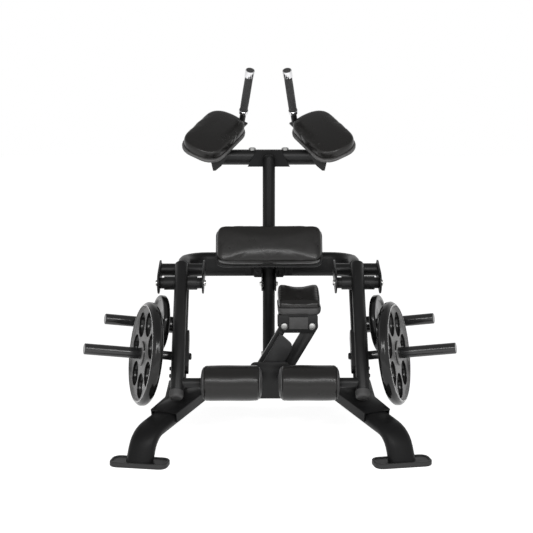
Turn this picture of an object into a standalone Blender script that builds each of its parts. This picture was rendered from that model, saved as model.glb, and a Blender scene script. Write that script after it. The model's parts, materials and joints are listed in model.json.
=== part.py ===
"""Kneeling hamstring machine, plate loaded, with two curl arms and a knee pad that changes sides.

Metres, +Z up. X runs to the right of a user who faces +Y. The machine stands on Z = 0.
"""

import math

import bmesh
import bpy
from mathutils import Matrix, Vector

# Clearances between pieces
SEAT = 0.0003          # pieces that touch
RUN = 0.0008           # pieces that turn on each other

# Place of the curl axis
PIVOT_Y = 0.0798      # curl axis behind the middle of the footprint
PIVOT_Z = 0.670        # curl axis above the floor, at knee height

# Sections
TUBE_R = 0.030         # round frame and arm tubes
OVAL_W = 0.120         # flat-oval tube, long side
OVAL_T = 0.060         # flat-oval tube, short side
PLATE_T = 0.008        # bracket plates

# Curl arms
ARM_X = 0.410          # arm tube from the middle plane
ARM_TILT = 40.0        # arm tube from upright, degrees, at rest
ARM_OFFSET = 0.038     # arm tube in front of the curl axis
ARM_UP = 0.080         # arm tube above the curl axis, along the tube
ARM_DOWN = 0.569       # arm tube below the curl axis, along the tube
ROLLER_DOWN = 0.5295  # roller shaft below the curl axis, along the tube
HUB_R = 0.032          # bearing hub on the curl axis
HUB_END_R = 0.026      # stepped ends of the hub
HUB_STEP = 0.022       # length of each stepped end
CAP_H = 0.024          # dome of the arm's lower bumper
TOP_CAP_H = 0.006      # dome of the arm's upper cap

# Pivot brackets
PIVOT_OUT_X = 0.517    # middle of the outer plate
PIVOT_IN_X = 0.310     # middle of the inner plate
PIVOT_EYE_R = 0.050    # plate round the axle
PIVOT_TOP_R = 0.046    # plate round the cross tube
CROSS_R = 0.030        # fixed cross tube between the plates
CROSS_Y = 0.132        # cross tube behind the curl axis
CROSS_UP = 0.040       # cross tube above the curl axis
AXLE_R = 0.010
AXLE_HEAD_R = 0.015
AXLE_HEAD_H = 0.010

# Rollers
ROLLER_R = 0.079
ROLLER_IN_X = 0.050    # inner end of the foam
ROLLER_OUT_X = 0.2925  # outer end of the foam
ROLLER_EDGE = 0.010    # rounding of the foam ends
DISC_R = 0.070
DISC_H = 0.014         # dome of each end disc
SHAFT_R = 0.023
ROLLER_SHAFT_R = 0.0165

# Weight horns, one on each arm and one on each upright
HORN_YAW = 17.5        # towards the user
HORN_RISE = 9.0        # above level
HORN_R = 0.025
HORN_SHAFT_R = 0.020
HORN_BACK = 0.058      # arm horn behind the arm tube
HORN_DOWN = 0.3705  # arm horn below the curl axis, along the tube
BRACKET_IN = 0.010      # horn bracket deeper on the inner side
HORN_LENGTH = 0.436    # arm horn tip from the arm tube's middle
STORE_Y = 0.030        # storage horn behind the curl axis, at the upright's middle
STORE_Z = 0.460  # storage horn above the floor, at the upright's middle
STORE_LENGTH = 0.362   # storage horn tip from the upright's middle
STORE_HUB_R = 0.039

# Weight plates
BIG_R = 0.233
BIG_T = 0.045
BIG_AT = 0.157         # plate's middle from the arm tube's middle, along the horn
BIG_HUB_R = 0.055
BIG_RING_IN = 0.070    # cut-outs between this radius
BIG_RING_OUT = 0.165   # and this one
BIG_SLOTS = 10
BIG_DISH = 0.012       # depth of the dished faces
SMALL_R = 0.135
SMALL_T = 0.030

# Frame
POST_Y = 0.285
POST_TOP = 1.247
BEAM_Z = 0.198         # cross beam, middle height
BEAM_T = 0.060
BEAM_D = 0.100
BEAM_Y = -0.140        # cross beam, middle
BEAM_HALF = 0.330
UPRIGHT_W = 0.070
UPRIGHT_T = 0.050
UPRIGHT_X = 0.420
UPRIGHT_LEAN = 41.5    # upright from vertical, degrees
SLEEVE_T = 0.006       # folded plate over the leg
SLEEVE_SIDE = 0.042    # depth of its sides
U_Y = 0.366            # middle of the U-frame's centre run
U_Z = 0.697
U_X = 0.410
U_BEND = 0.110
FOOT_X = 0.557
FOOT_Y = -0.622
FOOT_W = 0.252
FOOT_D = 0.105
FOOT_H = 0.022
FOOT_TURN = 10.0
LEG_BEND = (0.537, -0.592, 0.126)
LEG_TOP = (0.303, -0.150, 0.2052)
LEG_RADIUS = 0.100
REAR_Y = 0.470
SPINE_W = 0.060         # centre beam
REAR_HALF = 0.270

# Top cross tube and elbow supports
TBAR_R = 0.0375
TBAR_Z = 1.228
TBAR_Y = 0.359
TBAR_HALF = 0.246
SADDLE_TOP = 0.058
SADDLE_LOW = 0.103
ELBOW_X = 0.273  # middle of each elbow pad's plane point
ELBOW_Y = 0.240
ELBOW_Z = 1.337
ELBOW_LEAN = 35.0      # pad faces lean towards the user
ELBOW_SPLAY = 30.0     # pads turn inwards
ELBOW_LONG = 0.336
ELBOW_WIDE = 0.208
ELBOW_THICK = 0.052
BOARD_T = 0.014
HANDLE_R = 0.0125
GRIP_R = 0.0175
HANDLE_LONG = 0.2715  # above its foot
HANDLE_SUNK = 0.0508  # below its foot, behind the pad
HANDLE_FOOT = (0.125, 0.423, 1.4262)
HANDLE_WAY = (0.14, -0.56, 0.82)  # inwards, towards the user and up

# Thigh pad
THIGH_W = 0.504
THIGH_H = 0.190
THIGH_T = 0.070
THIGH_Y = 0.112
THIGH_Z = 0.832
THIGH_LEAN = 27.0

# Knee carriage
LINK_X = 0.0635        # lower pivots from the middle plane
LINK_Z = 0.275
LINK_RISE = 0.222      # upper pivots above the lower ones
LINK_SIDE = 0.130      # upper pivots to the side of the lower ones
LINK_W_LEFT = 0.034
LINK_W_RIGHT = 0.057
LINK_FRONT_Y = -0.150  # front faces of the links
LINK_BACK_Y = -0.122
MOUNT_T = 0.0077
MOUNT_FRONT_Y = -0.198
MOUNT_REAR_Y = -0.115  # middle of the rear plate
CARRIAGE_FRONT_Y = -0.159
CARRIAGE_REAR_Y = -0.114
BOX_W = 0.059          # stiffener on the left link
BOX_SIDE = 0.040       # its middle from the link's line
BOX_FRONT_Y = -0.185
BOX_TOP = 0.204  # its end, along the link from the lower pivot
PIN_R = 0.008
PIN_HEAD_R = 0.0165
KNEE_X = 0.135         # middle of the knee pad at rest
KNEE_Y = -0.0585
KNEE_W = 0.198
KNEE_L = 0.225
KNEE_BASE_Z = 0.549
KNEE_BASE_T = 0.034

MACHINE = "kneeling_hamstring_machine"
CUTTERS = "cutters"
SIDES = {"left": -1, "right": 1}

for old in list(bpy.data.objects):
    bpy.data.objects.remove(old, do_unlink=True)

parts = bpy.data.collections.new(MACHINE)
cutters = bpy.data.collections.new(CUTTERS)
bpy.context.scene.collection.children.link(parts)
bpy.context.scene.collection.children.link(cutters)


def material(name, colour, rough, metal=0.0):
    """A Principled material with a plain colour."""
    made = bpy.data.materials.new(name)
    made.use_nodes = True
    shader = made.node_tree.nodes["Principled BSDF"]
    shader.inputs["Base Color"].default_value = (*colour, 1.0)
    shader.inputs["Roughness"].default_value = rough
    shader.inputs["Metallic"].default_value = metal
    made.diffuse_color = (*colour, 1.0)
    return made


BLACK_PAINT = material("black_powder_coat", (0.022, 0.022, 0.023), 0.55)
VINYL = material("black_vinyl", (0.012, 0.012, 0.012), 0.38)
GREY_PLASTIC = material("grey_plastic", (0.16, 0.16, 0.16), 0.5)
RUBBER = material("dark_rubber", (0.05, 0.05, 0.05), 0.75)
CHROME = material("chrome", (0.75, 0.75, 0.76), 0.12, 1.0)
GRIP_RUBBER = material("grip_rubber", (0.07, 0.07, 0.07), 0.8)
CAST_GREY = material("grey_cast_iron", (0.10, 0.10, 0.105), 0.45, 0.2)
DARK_STEEL = material("dark_steel", (0.05, 0.05, 0.05), 0.35, 0.6)
BOARD = material("black_board", (0.02, 0.02, 0.02), 0.7)


def empty(name, place, parent=None):
    """A frame that pieces hang on; not a piece itself."""
    made = bpy.data.objects.new(name, None)
    made.location = place
    made.parent = parent
    parts.objects.link(made)
    return made


machine = empty("machine", (0.0, PIVOT_Y, 0.0))


def place(obj, parent, origin):
    """Keeps the mesh where it is drawn, with the object's origin at the given point of the machine."""
    origin = Vector(origin)
    obj.data.transform(Matrix.Translation(-origin))
    base = Vector((0.0, 0.0, 0.0))
    above = parent
    while above is not None and above is not machine:
        base += above.location
        above = above.parent
    obj.parent = parent
    obj.location = origin - base


def finish(name, mesh, mat, parent=None, origin=(0.0, 0.0, 0.0), smooth=35.0):
    """Puts a finished mesh, drawn in machine coordinates, into the parts collection."""
    mesh.materials.clear()
    mesh.materials.append(mat)
    mesh.shade_smooth()
    mesh.set_sharp_from_angle(angle=math.radians(smooth))
    obj = bpy.data.objects.new(name, mesh)
    parts.objects.link(obj)
    place(obj, parent or machine, origin)
    return obj


def face_out(bm):
    """Turns the faces of a closed shape outwards."""
    bmesh.ops.recalc_face_normals(bm, faces=bm.faces)
    if bm.calc_volume(signed=True) < 0.0:
        bmesh.ops.reverse_faces(bm, faces=bm.faces)


def to_mesh(bm, name="shape"):
    """A bmesh as a mesh with outward faces."""
    face_out(bm)
    mesh = bpy.data.meshes.new(name)
    bm.to_mesh(mesh)
    bm.free()
    return mesh


def along(start, end):
    """Matrix that stands a shape's Z on the line from start to end, at its middle."""
    start, end = Vector(start), Vector(end)
    turn = (end - start).to_track_quat("Z", "Y").to_matrix().to_4x4()
    return Matrix.Translation((start + end) / 2) @ turn


def rod(start, end, radius, sides=24, end_radius=None, bm=None):
    """A cylinder or cone between two points."""
    bm = bm or bmesh.new()
    top = radius if end_radius is None else end_radius
    length = (Vector(end) - Vector(start)).length
    bmesh.ops.create_cone(bm, cap_ends=True, segments=sides, radius1=radius, radius2=top,
                          depth=length, matrix=along(start, end))
    return bm


def block(size, centre, turn=None, bm=None):
    """A box of the given size, turned about its centre."""
    bm = bm or bmesh.new()
    matrix = Matrix.Translation(centre)
    if turn is not None:
        matrix = matrix @ turn.to_4x4()
    bmesh.ops.create_cube(bm, size=1.0, matrix=matrix @ Matrix.Diagonal((*size, 1.0)))
    return bm


def turned(profile, matrix, sides=32, name="turned"):
    """A solid turned from (radius, height) points, top to bottom, and then placed by a matrix."""
    bm = bmesh.new()
    verts = [bm.verts.new((r, 0.0, z)) for r, z in profile]
    for a, b in zip(verts, verts[1:]):
        bm.edges.new((a, b))
    mesh = bpy.data.meshes.new(name)
    bm.to_mesh(mesh)
    bm.free()
    obj = bpy.data.objects.new(name, mesh)
    cutters.objects.link(obj)
    screw = obj.modifiers.new("turn", "SCREW")
    screw.steps = sides
    screw.render_steps = sides
    screw.use_merge_vertices = True
    screw.merge_threshold = 0.00005
    return baked(obj, matrix)


def baked(obj, matrix=None):
    """The evaluated mesh of a working object, with loose seams welded; the object is removed."""
    bpy.context.view_layer.update()
    graph = bpy.context.evaluated_depsgraph_get()
    mesh = bpy.data.meshes.new_from_object(obj.evaluated_get(graph), depsgraph=graph)
    mesh.transform(obj.matrix_world)
    bpy.data.objects.remove(obj, do_unlink=True)
    bm = bmesh.new()
    bm.from_mesh(mesh)
    bmesh.ops.remove_doubles(bm, verts=bm.verts, dist=0.00002)
    bmesh.ops.dissolve_degenerate(bm, edges=bm.edges, dist=0.00001)
    if matrix is not None:
        bm.transform(matrix)
    face_out(bm)
    bm.to_mesh(mesh)
    bm.free()
    return mesh


def plate(outlines, thickness, matrix, name="plate", bevel=0.0):
    """A flat piece from closed outlines in its own XY plane; inner outlines are holes."""
    curve = bpy.data.curves.new(name, "CURVE")
    curve.dimensions = "2D"
    curve.fill_mode = "BOTH"
    curve.extrude = thickness / 2
    for points in outlines:
        spline = curve.splines.new("POLY")
        spline.points.add(len(points) - 1)
        for point, (x, y) in zip(spline.points, points):
            point.co = (x, y, 0.0, 1.0)
        spline.use_cyclic_u = True
    obj = bpy.data.objects.new(name, curve)
    cutters.objects.link(obj)
    mesh = baked(obj)
    if bevel:
        solid = bpy.data.objects.new(name, mesh)
        cutters.objects.link(solid)
        edge = solid.modifiers.new("edge", "BEVEL")
        edge.width = bevel
        edge.segments = 1
        edge.angle_limit = math.radians(50)
        mesh = baked(solid)
    mesh.transform(matrix)
    return mesh


def arc(centre, radius, start, end, steps):
    """Points of an arc, degrees from start to end."""
    found = []
    for i in range(steps + 1):
        turn = math.radians(start + (end - start) * i / steps)
        found.append((centre[0] + radius * math.cos(turn), centre[1] + radius * math.sin(turn)))
    return found


def ring(centre, radius, sides):
    """Points of a full circle."""
    return arc(centre, radius, 0.0, 360.0 * (sides - 1) / sides, sides - 1)


def link_outline(a, ra, b, rb, steps=8):
    """The outline round two circles of unlike radius, joined by their common tangents."""
    dx, dy = b[0] - a[0], b[1] - a[1]
    gap = math.hypot(dx, dy)
    heading = math.degrees(math.atan2(dy, dx))
    lean = math.degrees(math.acos((ra - rb) / gap))
    far = arc(b, rb, heading - lean, heading + lean, steps)
    near = arc(a, ra, heading + lean, heading + 360 - lean, steps)
    return far + near


def rounded(width, height, radius, steps=4):
    """A rectangle with rounded corners, about its middle."""
    points = []
    for sx, sy, start in ((1, 1, 0), (-1, 1, 90), (-1, -1, 180), (1, -1, 270)):
        corner = (sx * (width / 2 - radius), sy * (height / 2 - radius))
        points += arc(corner, radius, start, start + 90, steps)
    return points


def oval(width, thick, steps=6):
    """A flat-oval tube's section, long side along the first axis."""
    radius = thick / 2
    reach = width / 2 - radius
    return arc((reach, 0.0), radius, -90, 90, steps) + arc((-reach, 0.0), radius, 90, 270, steps)


def smooth_path(points, bend, steps=6):
    """A path through corner points, with each inner corner rounded by the bend radius."""
    corners = [Vector(p) for p in points]
    path = [corners[0]]
    for before, here, after in zip(corners, corners[1:], corners[2:]):
        one = (before - here).normalized()
        two = (after - here).normalized()
        half = one.angle(two) / 2
        back = bend / math.tan(half)
        start = here + one * back
        centre = here + (one + two).normalized() * (bend / math.sin(half))
        first = start - centre
        last = (here + two * back) - centre
        total = first.angle(last)
        axis = first.cross(last).normalized()
        for i in range(steps + 1):
            path.append(centre + Matrix.Rotation(total * i / steps, 3, axis) @ first)
    path.append(corners[-1])
    return path


def swept(path, section, wide, settled=1.0):
    """A tube of constant section along a path.

    wide gives the section's first axis at both ends, and settled the share of the length by
    which the second is reached.
    """
    bm = bmesh.new()
    rings = []
    count = len(path)
    lengths = [0.0]
    for a, b in zip(path, path[1:]):
        lengths.append(lengths[-1] + (b - a).length)
    for i, here in enumerate(path):
        before = path[max(i - 1, 0)]
        after = path[min(i + 1, count - 1)]
        one = (here - before).normalized() if i else (after - here).normalized()
        two = (after - here).normalized() if i < count - 1 else one
        tangent = (one + two).normalized()
        stretch = 1.0 / max(tangent.dot(two), 0.5)
        share = min(lengths[i] / lengths[-1] / settled, 1.0)
        side = (Vector(wide[0]) * (1 - share) + Vector(wide[1]) * share)
        side = (side - tangent * side.dot(tangent)).normalized()
        up = tangent.cross(side)
        bend = two - one
        fold = bend.normalized() if bend.length > 1e-6 else None
        verts = []
        for u, v in section:
            offset = side * u + up * v
            if fold is not None:
                across = offset.dot(fold)
                offset += fold * across * (stretch - 1.0)
            verts.append(bm.verts.new(here + offset))
        rings.append(verts)
    for a, b in zip(rings, rings[1:]):
        for i in range(len(a)):
            j = (i + 1) % len(a)
            bm.faces.new((a[i], a[j], b[j], b[i]))
    bm.faces.new(rings[0])
    bm.faces.new(rings[-1])
    return to_mesh(bm, "tube")


def joined(first, others, cut=()):
    """One solid from meshes that overlap, less the meshes to cut."""
    work = bpy.data.objects.new("joined", first)
    cutters.objects.link(work)
    made = []
    for operation, meshes in (("UNION", others), ("DIFFERENCE", cut)):
        for mesh in meshes:
            tool = bpy.data.objects.new("tool", mesh)
            tool.hide_render = True
            tool.display_type = "WIRE"
            cutters.objects.link(tool)
            made.append(tool)
            step = work.modifiers.new(operation.lower(), "BOOLEAN")
            step.operation = operation
            step.solver = "EXACT"
            step.object = tool
    mesh = baked(work)
    for tool in made:
        bpy.data.objects.remove(tool, do_unlink=True)
    return mesh


def group(*meshes):
    """Several separate solids in one mesh."""
    bm = bmesh.new()
    for mesh in meshes:
        bm.from_mesh(mesh)
    made = bpy.data.meshes.new("group")
    bm.to_mesh(made)
    bm.free()
    return made


def cushion(width, height, thick, corner, crown, matrix, draw=0.03, cuts=1):
    """A stuffed pad: coarse rounded cage, crowned face, sides drawn in, then subdivided."""
    bm = bmesh.new()
    outline = rounded(width, height, corner, 3)
    levels = ((0.0, 1.0 - draw), (0.12, 1.0), (0.62, 1.0), (0.9, 0.97))
    rings = []
    for level, reach in levels:
        sx = reach if reach >= 1.0 else 1.0 - (1.0 - reach) * 0.5
        rings.append([bm.verts.new((x * sx, y * sx, thick * level)) for x, y in outline])
    for a, b in zip(rings, rings[1:]):
        for i in range(len(a)):
            j = (i + 1) % len(a)
            bm.faces.new((a[i], a[j], b[j], b[i]))
    bm.faces.new(list(reversed(rings[0])))
    inner = [bm.verts.new((x * 0.86, y * 0.84, thick * 1.0)) for x, y in outline]
    core = [bm.verts.new((x * 0.45, y * 0.42, thick * 1.0 + crown)) for x, y in outline]
    for a, b in ((rings[-1], inner), (inner, core)):
        for i in range(len(a)):
            j = (i + 1) % len(a)
            bm.faces.new((a[i], a[j], b[j], b[i]))
    bm.faces.new(core)
    mesh = to_mesh(bm, "cushion")
    obj = bpy.data.objects.new("cushion", mesh)
    cutters.objects.link(obj)
    crease = mesh.attributes.new("crease_edge", "FLOAT", "EDGE")
    for edge in mesh.edges:
        low = all(abs(mesh.vertices[v].co.z) < 1e-6 for v in edge.vertices)
        crease.data[edge.index].value = 1.0 if low else 0.0
    soft = obj.modifiers.new("soft", "SUBSURF")
    soft.levels = cuts
    soft.render_levels = cuts
    return baked(obj, matrix)


def yz_plate(x):
    """Matrix that stands a flat outline (its X to Y, its Y to Z) at the given X."""
    turn = Matrix(((0, 0, 1), (1, 0, 0), (0, 1, 0))).to_4x4()
    return Matrix.Translation((x, 0.0, 0.0)) @ turn


def xz_plate(y):
    """Matrix that stands a flat outline (its X to X, its Y to Z) at the given Y."""
    turn = Matrix(((1, 0, 0), (0, 0, -1), (0, 1, 0))).to_4x4()
    return Matrix.Translation((0.0, y, 0.0)) @ turn


def basis(x_axis, y_axis, z_axis, origin):
    """Matrix from three axes and an origin."""
    turn = Matrix((x_axis, y_axis, z_axis)).transposed().to_4x4()
    return Matrix.Translation(origin) @ turn


def base_frame():
    """Cross beam, legs, uprights, centre beam, rear foot and their rubber pads."""
    beam_front = BEAM_Y - BEAM_D / 2
    section = rounded(BEAM_D, BEAM_T, 0.012, 3)
    beam = swept([Vector((-BEAM_HALF, BEAM_Y, BEAM_Z)), Vector((BEAM_HALF, BEAM_Y, BEAM_Z))],
                 section, ((0, 1, 0), (0, 1, 0)))
    finish("cross_beam", beam, BLACK_PAINT, origin=(0, BEAM_Y, BEAM_Z))

    rear_low = FOOT_H + SEAT
    path = smooth_path(((0, BEAM_Y + BEAM_D / 2 + SEAT, BEAM_Z), (0, REAR_Y, BEAM_Z),
                        (0, REAR_Y, rear_low + OVAL_T / 2)), 0.075)
    spine = swept(path, rounded(SPINE_W, BEAM_T, 0.008, 3), ((1, 0, 0), (1, 0, 0)))
    rear_mid = rear_low + OVAL_T / 2
    rear = swept([Vector((-REAR_HALF, REAR_Y, rear_mid)), Vector((REAR_HALF, REAR_Y, rear_mid))],
                 oval(OVAL_W, OVAL_T), ((0, 1, 0), (0, 1, 0)))
    finish("rear_foot", joined(spine, (rear,)), BLACK_PAINT, origin=(0, REAR_Y, rear_low))
    for name, side in SIDES.items():
        spot = Vector((side * (REAR_HALF - 0.055), REAR_Y, 0.0))
        where = Matrix.Translation(spot + Vector((0, 0, FOOT_H / 2)))
        rubber = plate([rounded(0.10, OVAL_W, 0.02)], FOOT_H, where, bevel=0.003)
        finish("rear_rubber_pad_" + name, rubber, RUBBER, origin=spot)

    for name, side in SIDES.items():
        foot = Vector((side * FOOT_X, FOOT_Y, 0.0))
        turn = Matrix.Rotation(math.radians(side * FOOT_TURN), 4, "Z")
        recess = 0.010
        steel = 0.006
        pad = plate([rounded(FOOT_W, FOOT_D, 0.035, 4)], FOOT_H,
                    Matrix.Translation(foot + Vector((0, 0, FOOT_H / 2))) @ turn, bevel=0.003)
        hollow = plate([rounded(FOOT_W - 0.022, FOOT_D - 0.022, 0.026, 4)], recess * 2,
                       Matrix.Translation(foot + Vector((0, 0, FOOT_H))) @ turn)
        finish("foot_pad_" + name, joined(pad, (), (hollow,)), RUBBER, origin=foot)
        floor = FOOT_H - recess + SEAT
        shoe_at = foot + Vector((0, 0, floor + steel / 2))
        shoe = plate([rounded(FOOT_W - 0.024, FOOT_D - 0.024, 0.025, 4)], steel,
                     Matrix.Translation(shoe_at) @ turn)
        bend = Vector((side * LEG_BEND[0], LEG_BEND[1], LEG_BEND[2]))
        top = Vector((side * LEG_TOP[0], LEG_TOP[1], LEG_TOP[2]))
        heading = (top - bend).normalized()
        across = Vector((-side * heading.y, side * heading.x, 0.0)).normalized()
        sunk = shoe_at - (bend - shoe_at).normalized() * 0.05
        tube = swept(smooth_path((sunk, bend, top + heading * 0.1), LEG_RADIUS, 6),
                     oval(OVAL_W, OVAL_T), ((0.985, side * 0.17, 0.0), across * -side), 0.29)
        behind = block_between((-1.0, beam_front - SEAT, -1.0), (1.0, 1.0, 1.0))
        below = block_between((-1.0, -1.0, -1.0), (1.0, 0.5, shoe_at.z))
        leg = joined(joined(tube, (), (behind, below)), (shoe,))
        finish("front_leg_" + name, leg, BLACK_PAINT, origin=foot)
        finish("side_upright_" + name, side_upright(side, bend, heading), BLACK_PAINT,
               origin=(side * UPRIGHT_X, STORE_Y, STORE_Z))


def side_upright(side, bend, heading):
    """Upright of one side with the folded plate that it stands on and that wraps the leg."""
    out = Vector((side * heading.y, -side * heading.x, 0.0)).normalized()
    up = out.cross(heading) if out.cross(heading).z > 0 else heading.cross(out)
    frame = basis(heading, up.cross(heading), up, bend)
    flip = 1.0 if frame.to_3x3().col[1].dot(out) > 0 else -1.0
    under = OVAL_T / 2 + SEAT
    half = OVAL_W / 2 + SEAT
    wall = SLEEVE_T
    edge = half + wall
    deck_line = [(0.158, edge), (0.295, 0.076), (0.462, 0.158), (0.547, 0.007), (0.483, -0.063),
                 (0.470, -edge), (0.158, -edge)]
    outer = [(0.1585, edge - 0.0005), (0.295, 0.0755), (0.457, 0.1548)]
    inner = [(0.461, 0.1475), (0.297, 0.067), (0.1585, half)]
    near = [(0.1585, 0.0005 - edge), (0.466, 0.0005 - edge), (0.466, -half), (0.1585, -half)]
    lift = Matrix.Translation((0, 0, under + wall / 2))
    deck = plate([[(x, y * flip) for x, y in deck_line]], wall, frame @ lift)
    fall = Matrix.Translation((0, 0, under + wall * 0.7 - SLEEVE_SIDE / 2))
    far_wall = plate([[(x, y * flip) for x, y in outer + inner]], SLEEVE_SIDE, frame @ fall)
    near_wall = plate([[(x, y * flip) for x, y in near]], SLEEVE_SIDE, frame @ fall)

    lean = math.radians(UPRIGHT_LEAN)
    line = Vector((0.0, math.sin(lean), math.cos(lean)))
    middle = Vector((side * UPRIGHT_X, STORE_Y, STORE_Z))
    post = swept([middle - line * 0.36, middle + line * 0.30],
                 rounded(UPRIGHT_W, UPRIGHT_T, 0.008, 2), ((1, 0, 0), (1, 0, 0)))
    above = block_between((-1.0, -1.0, U_Z - OVAL_W / 2 - SEAT), (1.0, 1.0, 2.0))
    below = block_between((-1.0, -1.0, -1.0), (1.0, 1.0, 0.0))
    below.transform(frame @ Matrix.Translation((0, 0, under + wall / 2)))
    upright = joined(post, (), (above, below))
    return joined(upright, (deck, far_wall, near_wall))


def upper_frame():
    """U-frame with its pivot brackets, axles, post, clevis and top cross tube."""
    path = smooth_path(((-U_X, CROSS_Y, U_Z), (-U_X, U_Y, U_Z),
                        (U_X, U_Y, U_Z), (U_X, CROSS_Y, U_Z)), U_BEND, 6)
    tube = swept(path, oval(OVAL_W, OVAL_T), ((0, 0, 1), (0, 0, 1)))
    pieces = []
    cross_z = PIVOT_Z + CROSS_UP
    for side in SIDES.values():
        inner = side * PIVOT_IN_X
        outer = side * PIVOT_OUT_X
        pieces.append(to_mesh(rod((inner, CROSS_Y, cross_z), (outer, CROSS_Y, cross_z), CROSS_R)))
        for x in (inner, outer):
            outline = link_outline((0.0, PIVOT_Z), PIVOT_EYE_R, (CROSS_Y, cross_z), PIVOT_TOP_R, 7)
            eye = ring((0.0, PIVOT_Z), AXLE_R + RUN, 14)
            pieces.append(plate([outline, eye], PLATE_T, yz_plate(x)))
    frame = joined(tube, pieces)
    finish("u_frame", frame, BLACK_PAINT, origin=(0, U_Y, U_Z))

    for name, side in SIDES.items():
        outer = PIVOT_OUT_X + PLATE_T / 2 + SEAT
        inner = PIVOT_IN_X - PLATE_T / 2 - SEAT
        profile = [(0.0, outer + AXLE_HEAD_H), (AXLE_HEAD_R * 0.8, outer + AXLE_HEAD_H),
                   (AXLE_HEAD_R, outer + AXLE_HEAD_H * 0.7), (AXLE_HEAD_R, outer), (AXLE_R, outer),
                   (AXLE_R, inner), (AXLE_HEAD_R, inner), (AXLE_HEAD_R, inner - AXLE_HEAD_H * 0.7),
                   (AXLE_HEAD_R * 0.8, inner - AXLE_HEAD_H), (0.0, inner - AXLE_HEAD_H)]
        stand = basis((0, 0, -side), (0, 1, 0), (side, 0, 0), (0, 0, PIVOT_Z))
        finish("arm_axle_" + name, turned(profile, stand, 14), DARK_STEEL, origin=(0, 0, PIVOT_Z))

    low = BEAM_Z + BEAM_T / 2 + SEAT
    profile = [(0.0, POST_TOP), (TUBE_R * 0.5, POST_TOP - 0.002), (TUBE_R * 0.85, POST_TOP - 0.009),
               (TUBE_R, POST_TOP - 0.022), (TUBE_R, low), (0.0, low)]
    post = turned(profile, Matrix.Translation((0, POST_Y, 0)), 28)
    saddle_y = POST_Y + TUBE_R + PLATE_T / 2 - 0.002
    outline = [(-SADDLE_LOW, TBAR_Z - 0.043), (SADDLE_LOW, TBAR_Z - 0.043),
               (SADDLE_TOP, TBAR_Z + 0.038), (-SADDLE_TOP, TBAR_Z + 0.038)]
    saddle = plate([outline], PLATE_T, xz_plate(saddle_y))
    finish("post", joined(post, (saddle,)), BLACK_PAINT, origin=(0, POST_Y, low))

    flange_y = U_Y - OVAL_T / 2 - SEAT - PLATE_T / 2
    flange = plate([rounded(0.148, 0.050, 0.006, 2)], PLATE_T,
                   Matrix.Translation((0, 0, 0.662)) @ xz_plate(flange_y))
    ears = []
    ear_x = TUBE_R + SEAT + 0.003
    for side in SIDES.values():
        outline = [(flange_y, 0.637), (flange_y, 0.687), (POST_Y - 0.020, 0.687),
                   (POST_Y - 0.034, 0.670), (POST_Y - 0.034, 0.594), (POST_Y - 0.020, 0.580),
                   (POST_Y + 0.030, 0.580)]
        ears.append(plate([outline], 0.006, yz_plate(side * ear_x)))
    clevis = joined(flange, ears)
    finish("post_clevis", clevis, BLACK_PAINT, origin=(0, flange_y, 0.662))


def elbow_frame(side):
    """Matrix of an elbow pad: X across it, Y along it, Z out of its face."""
    lean = math.radians(ELBOW_LEAN)
    up = Vector((-side * 0.115, -math.sin(lean), math.cos(lean))).normalized()
    right = (Vector((1, 0, 0)) - up * up.x).normalized()
    back = up.cross(right)
    splay = math.radians(ELBOW_SPLAY)
    long_axis = right * (-side * math.sin(splay)) + back * math.cos(splay)
    wide = long_axis.cross(up)
    origin = Vector((side * ELBOW_X, ELBOW_Y, ELBOW_Z)) - right * side * 0.0145 + back * 0.055
    return basis(wide, long_axis, up, origin)


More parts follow.
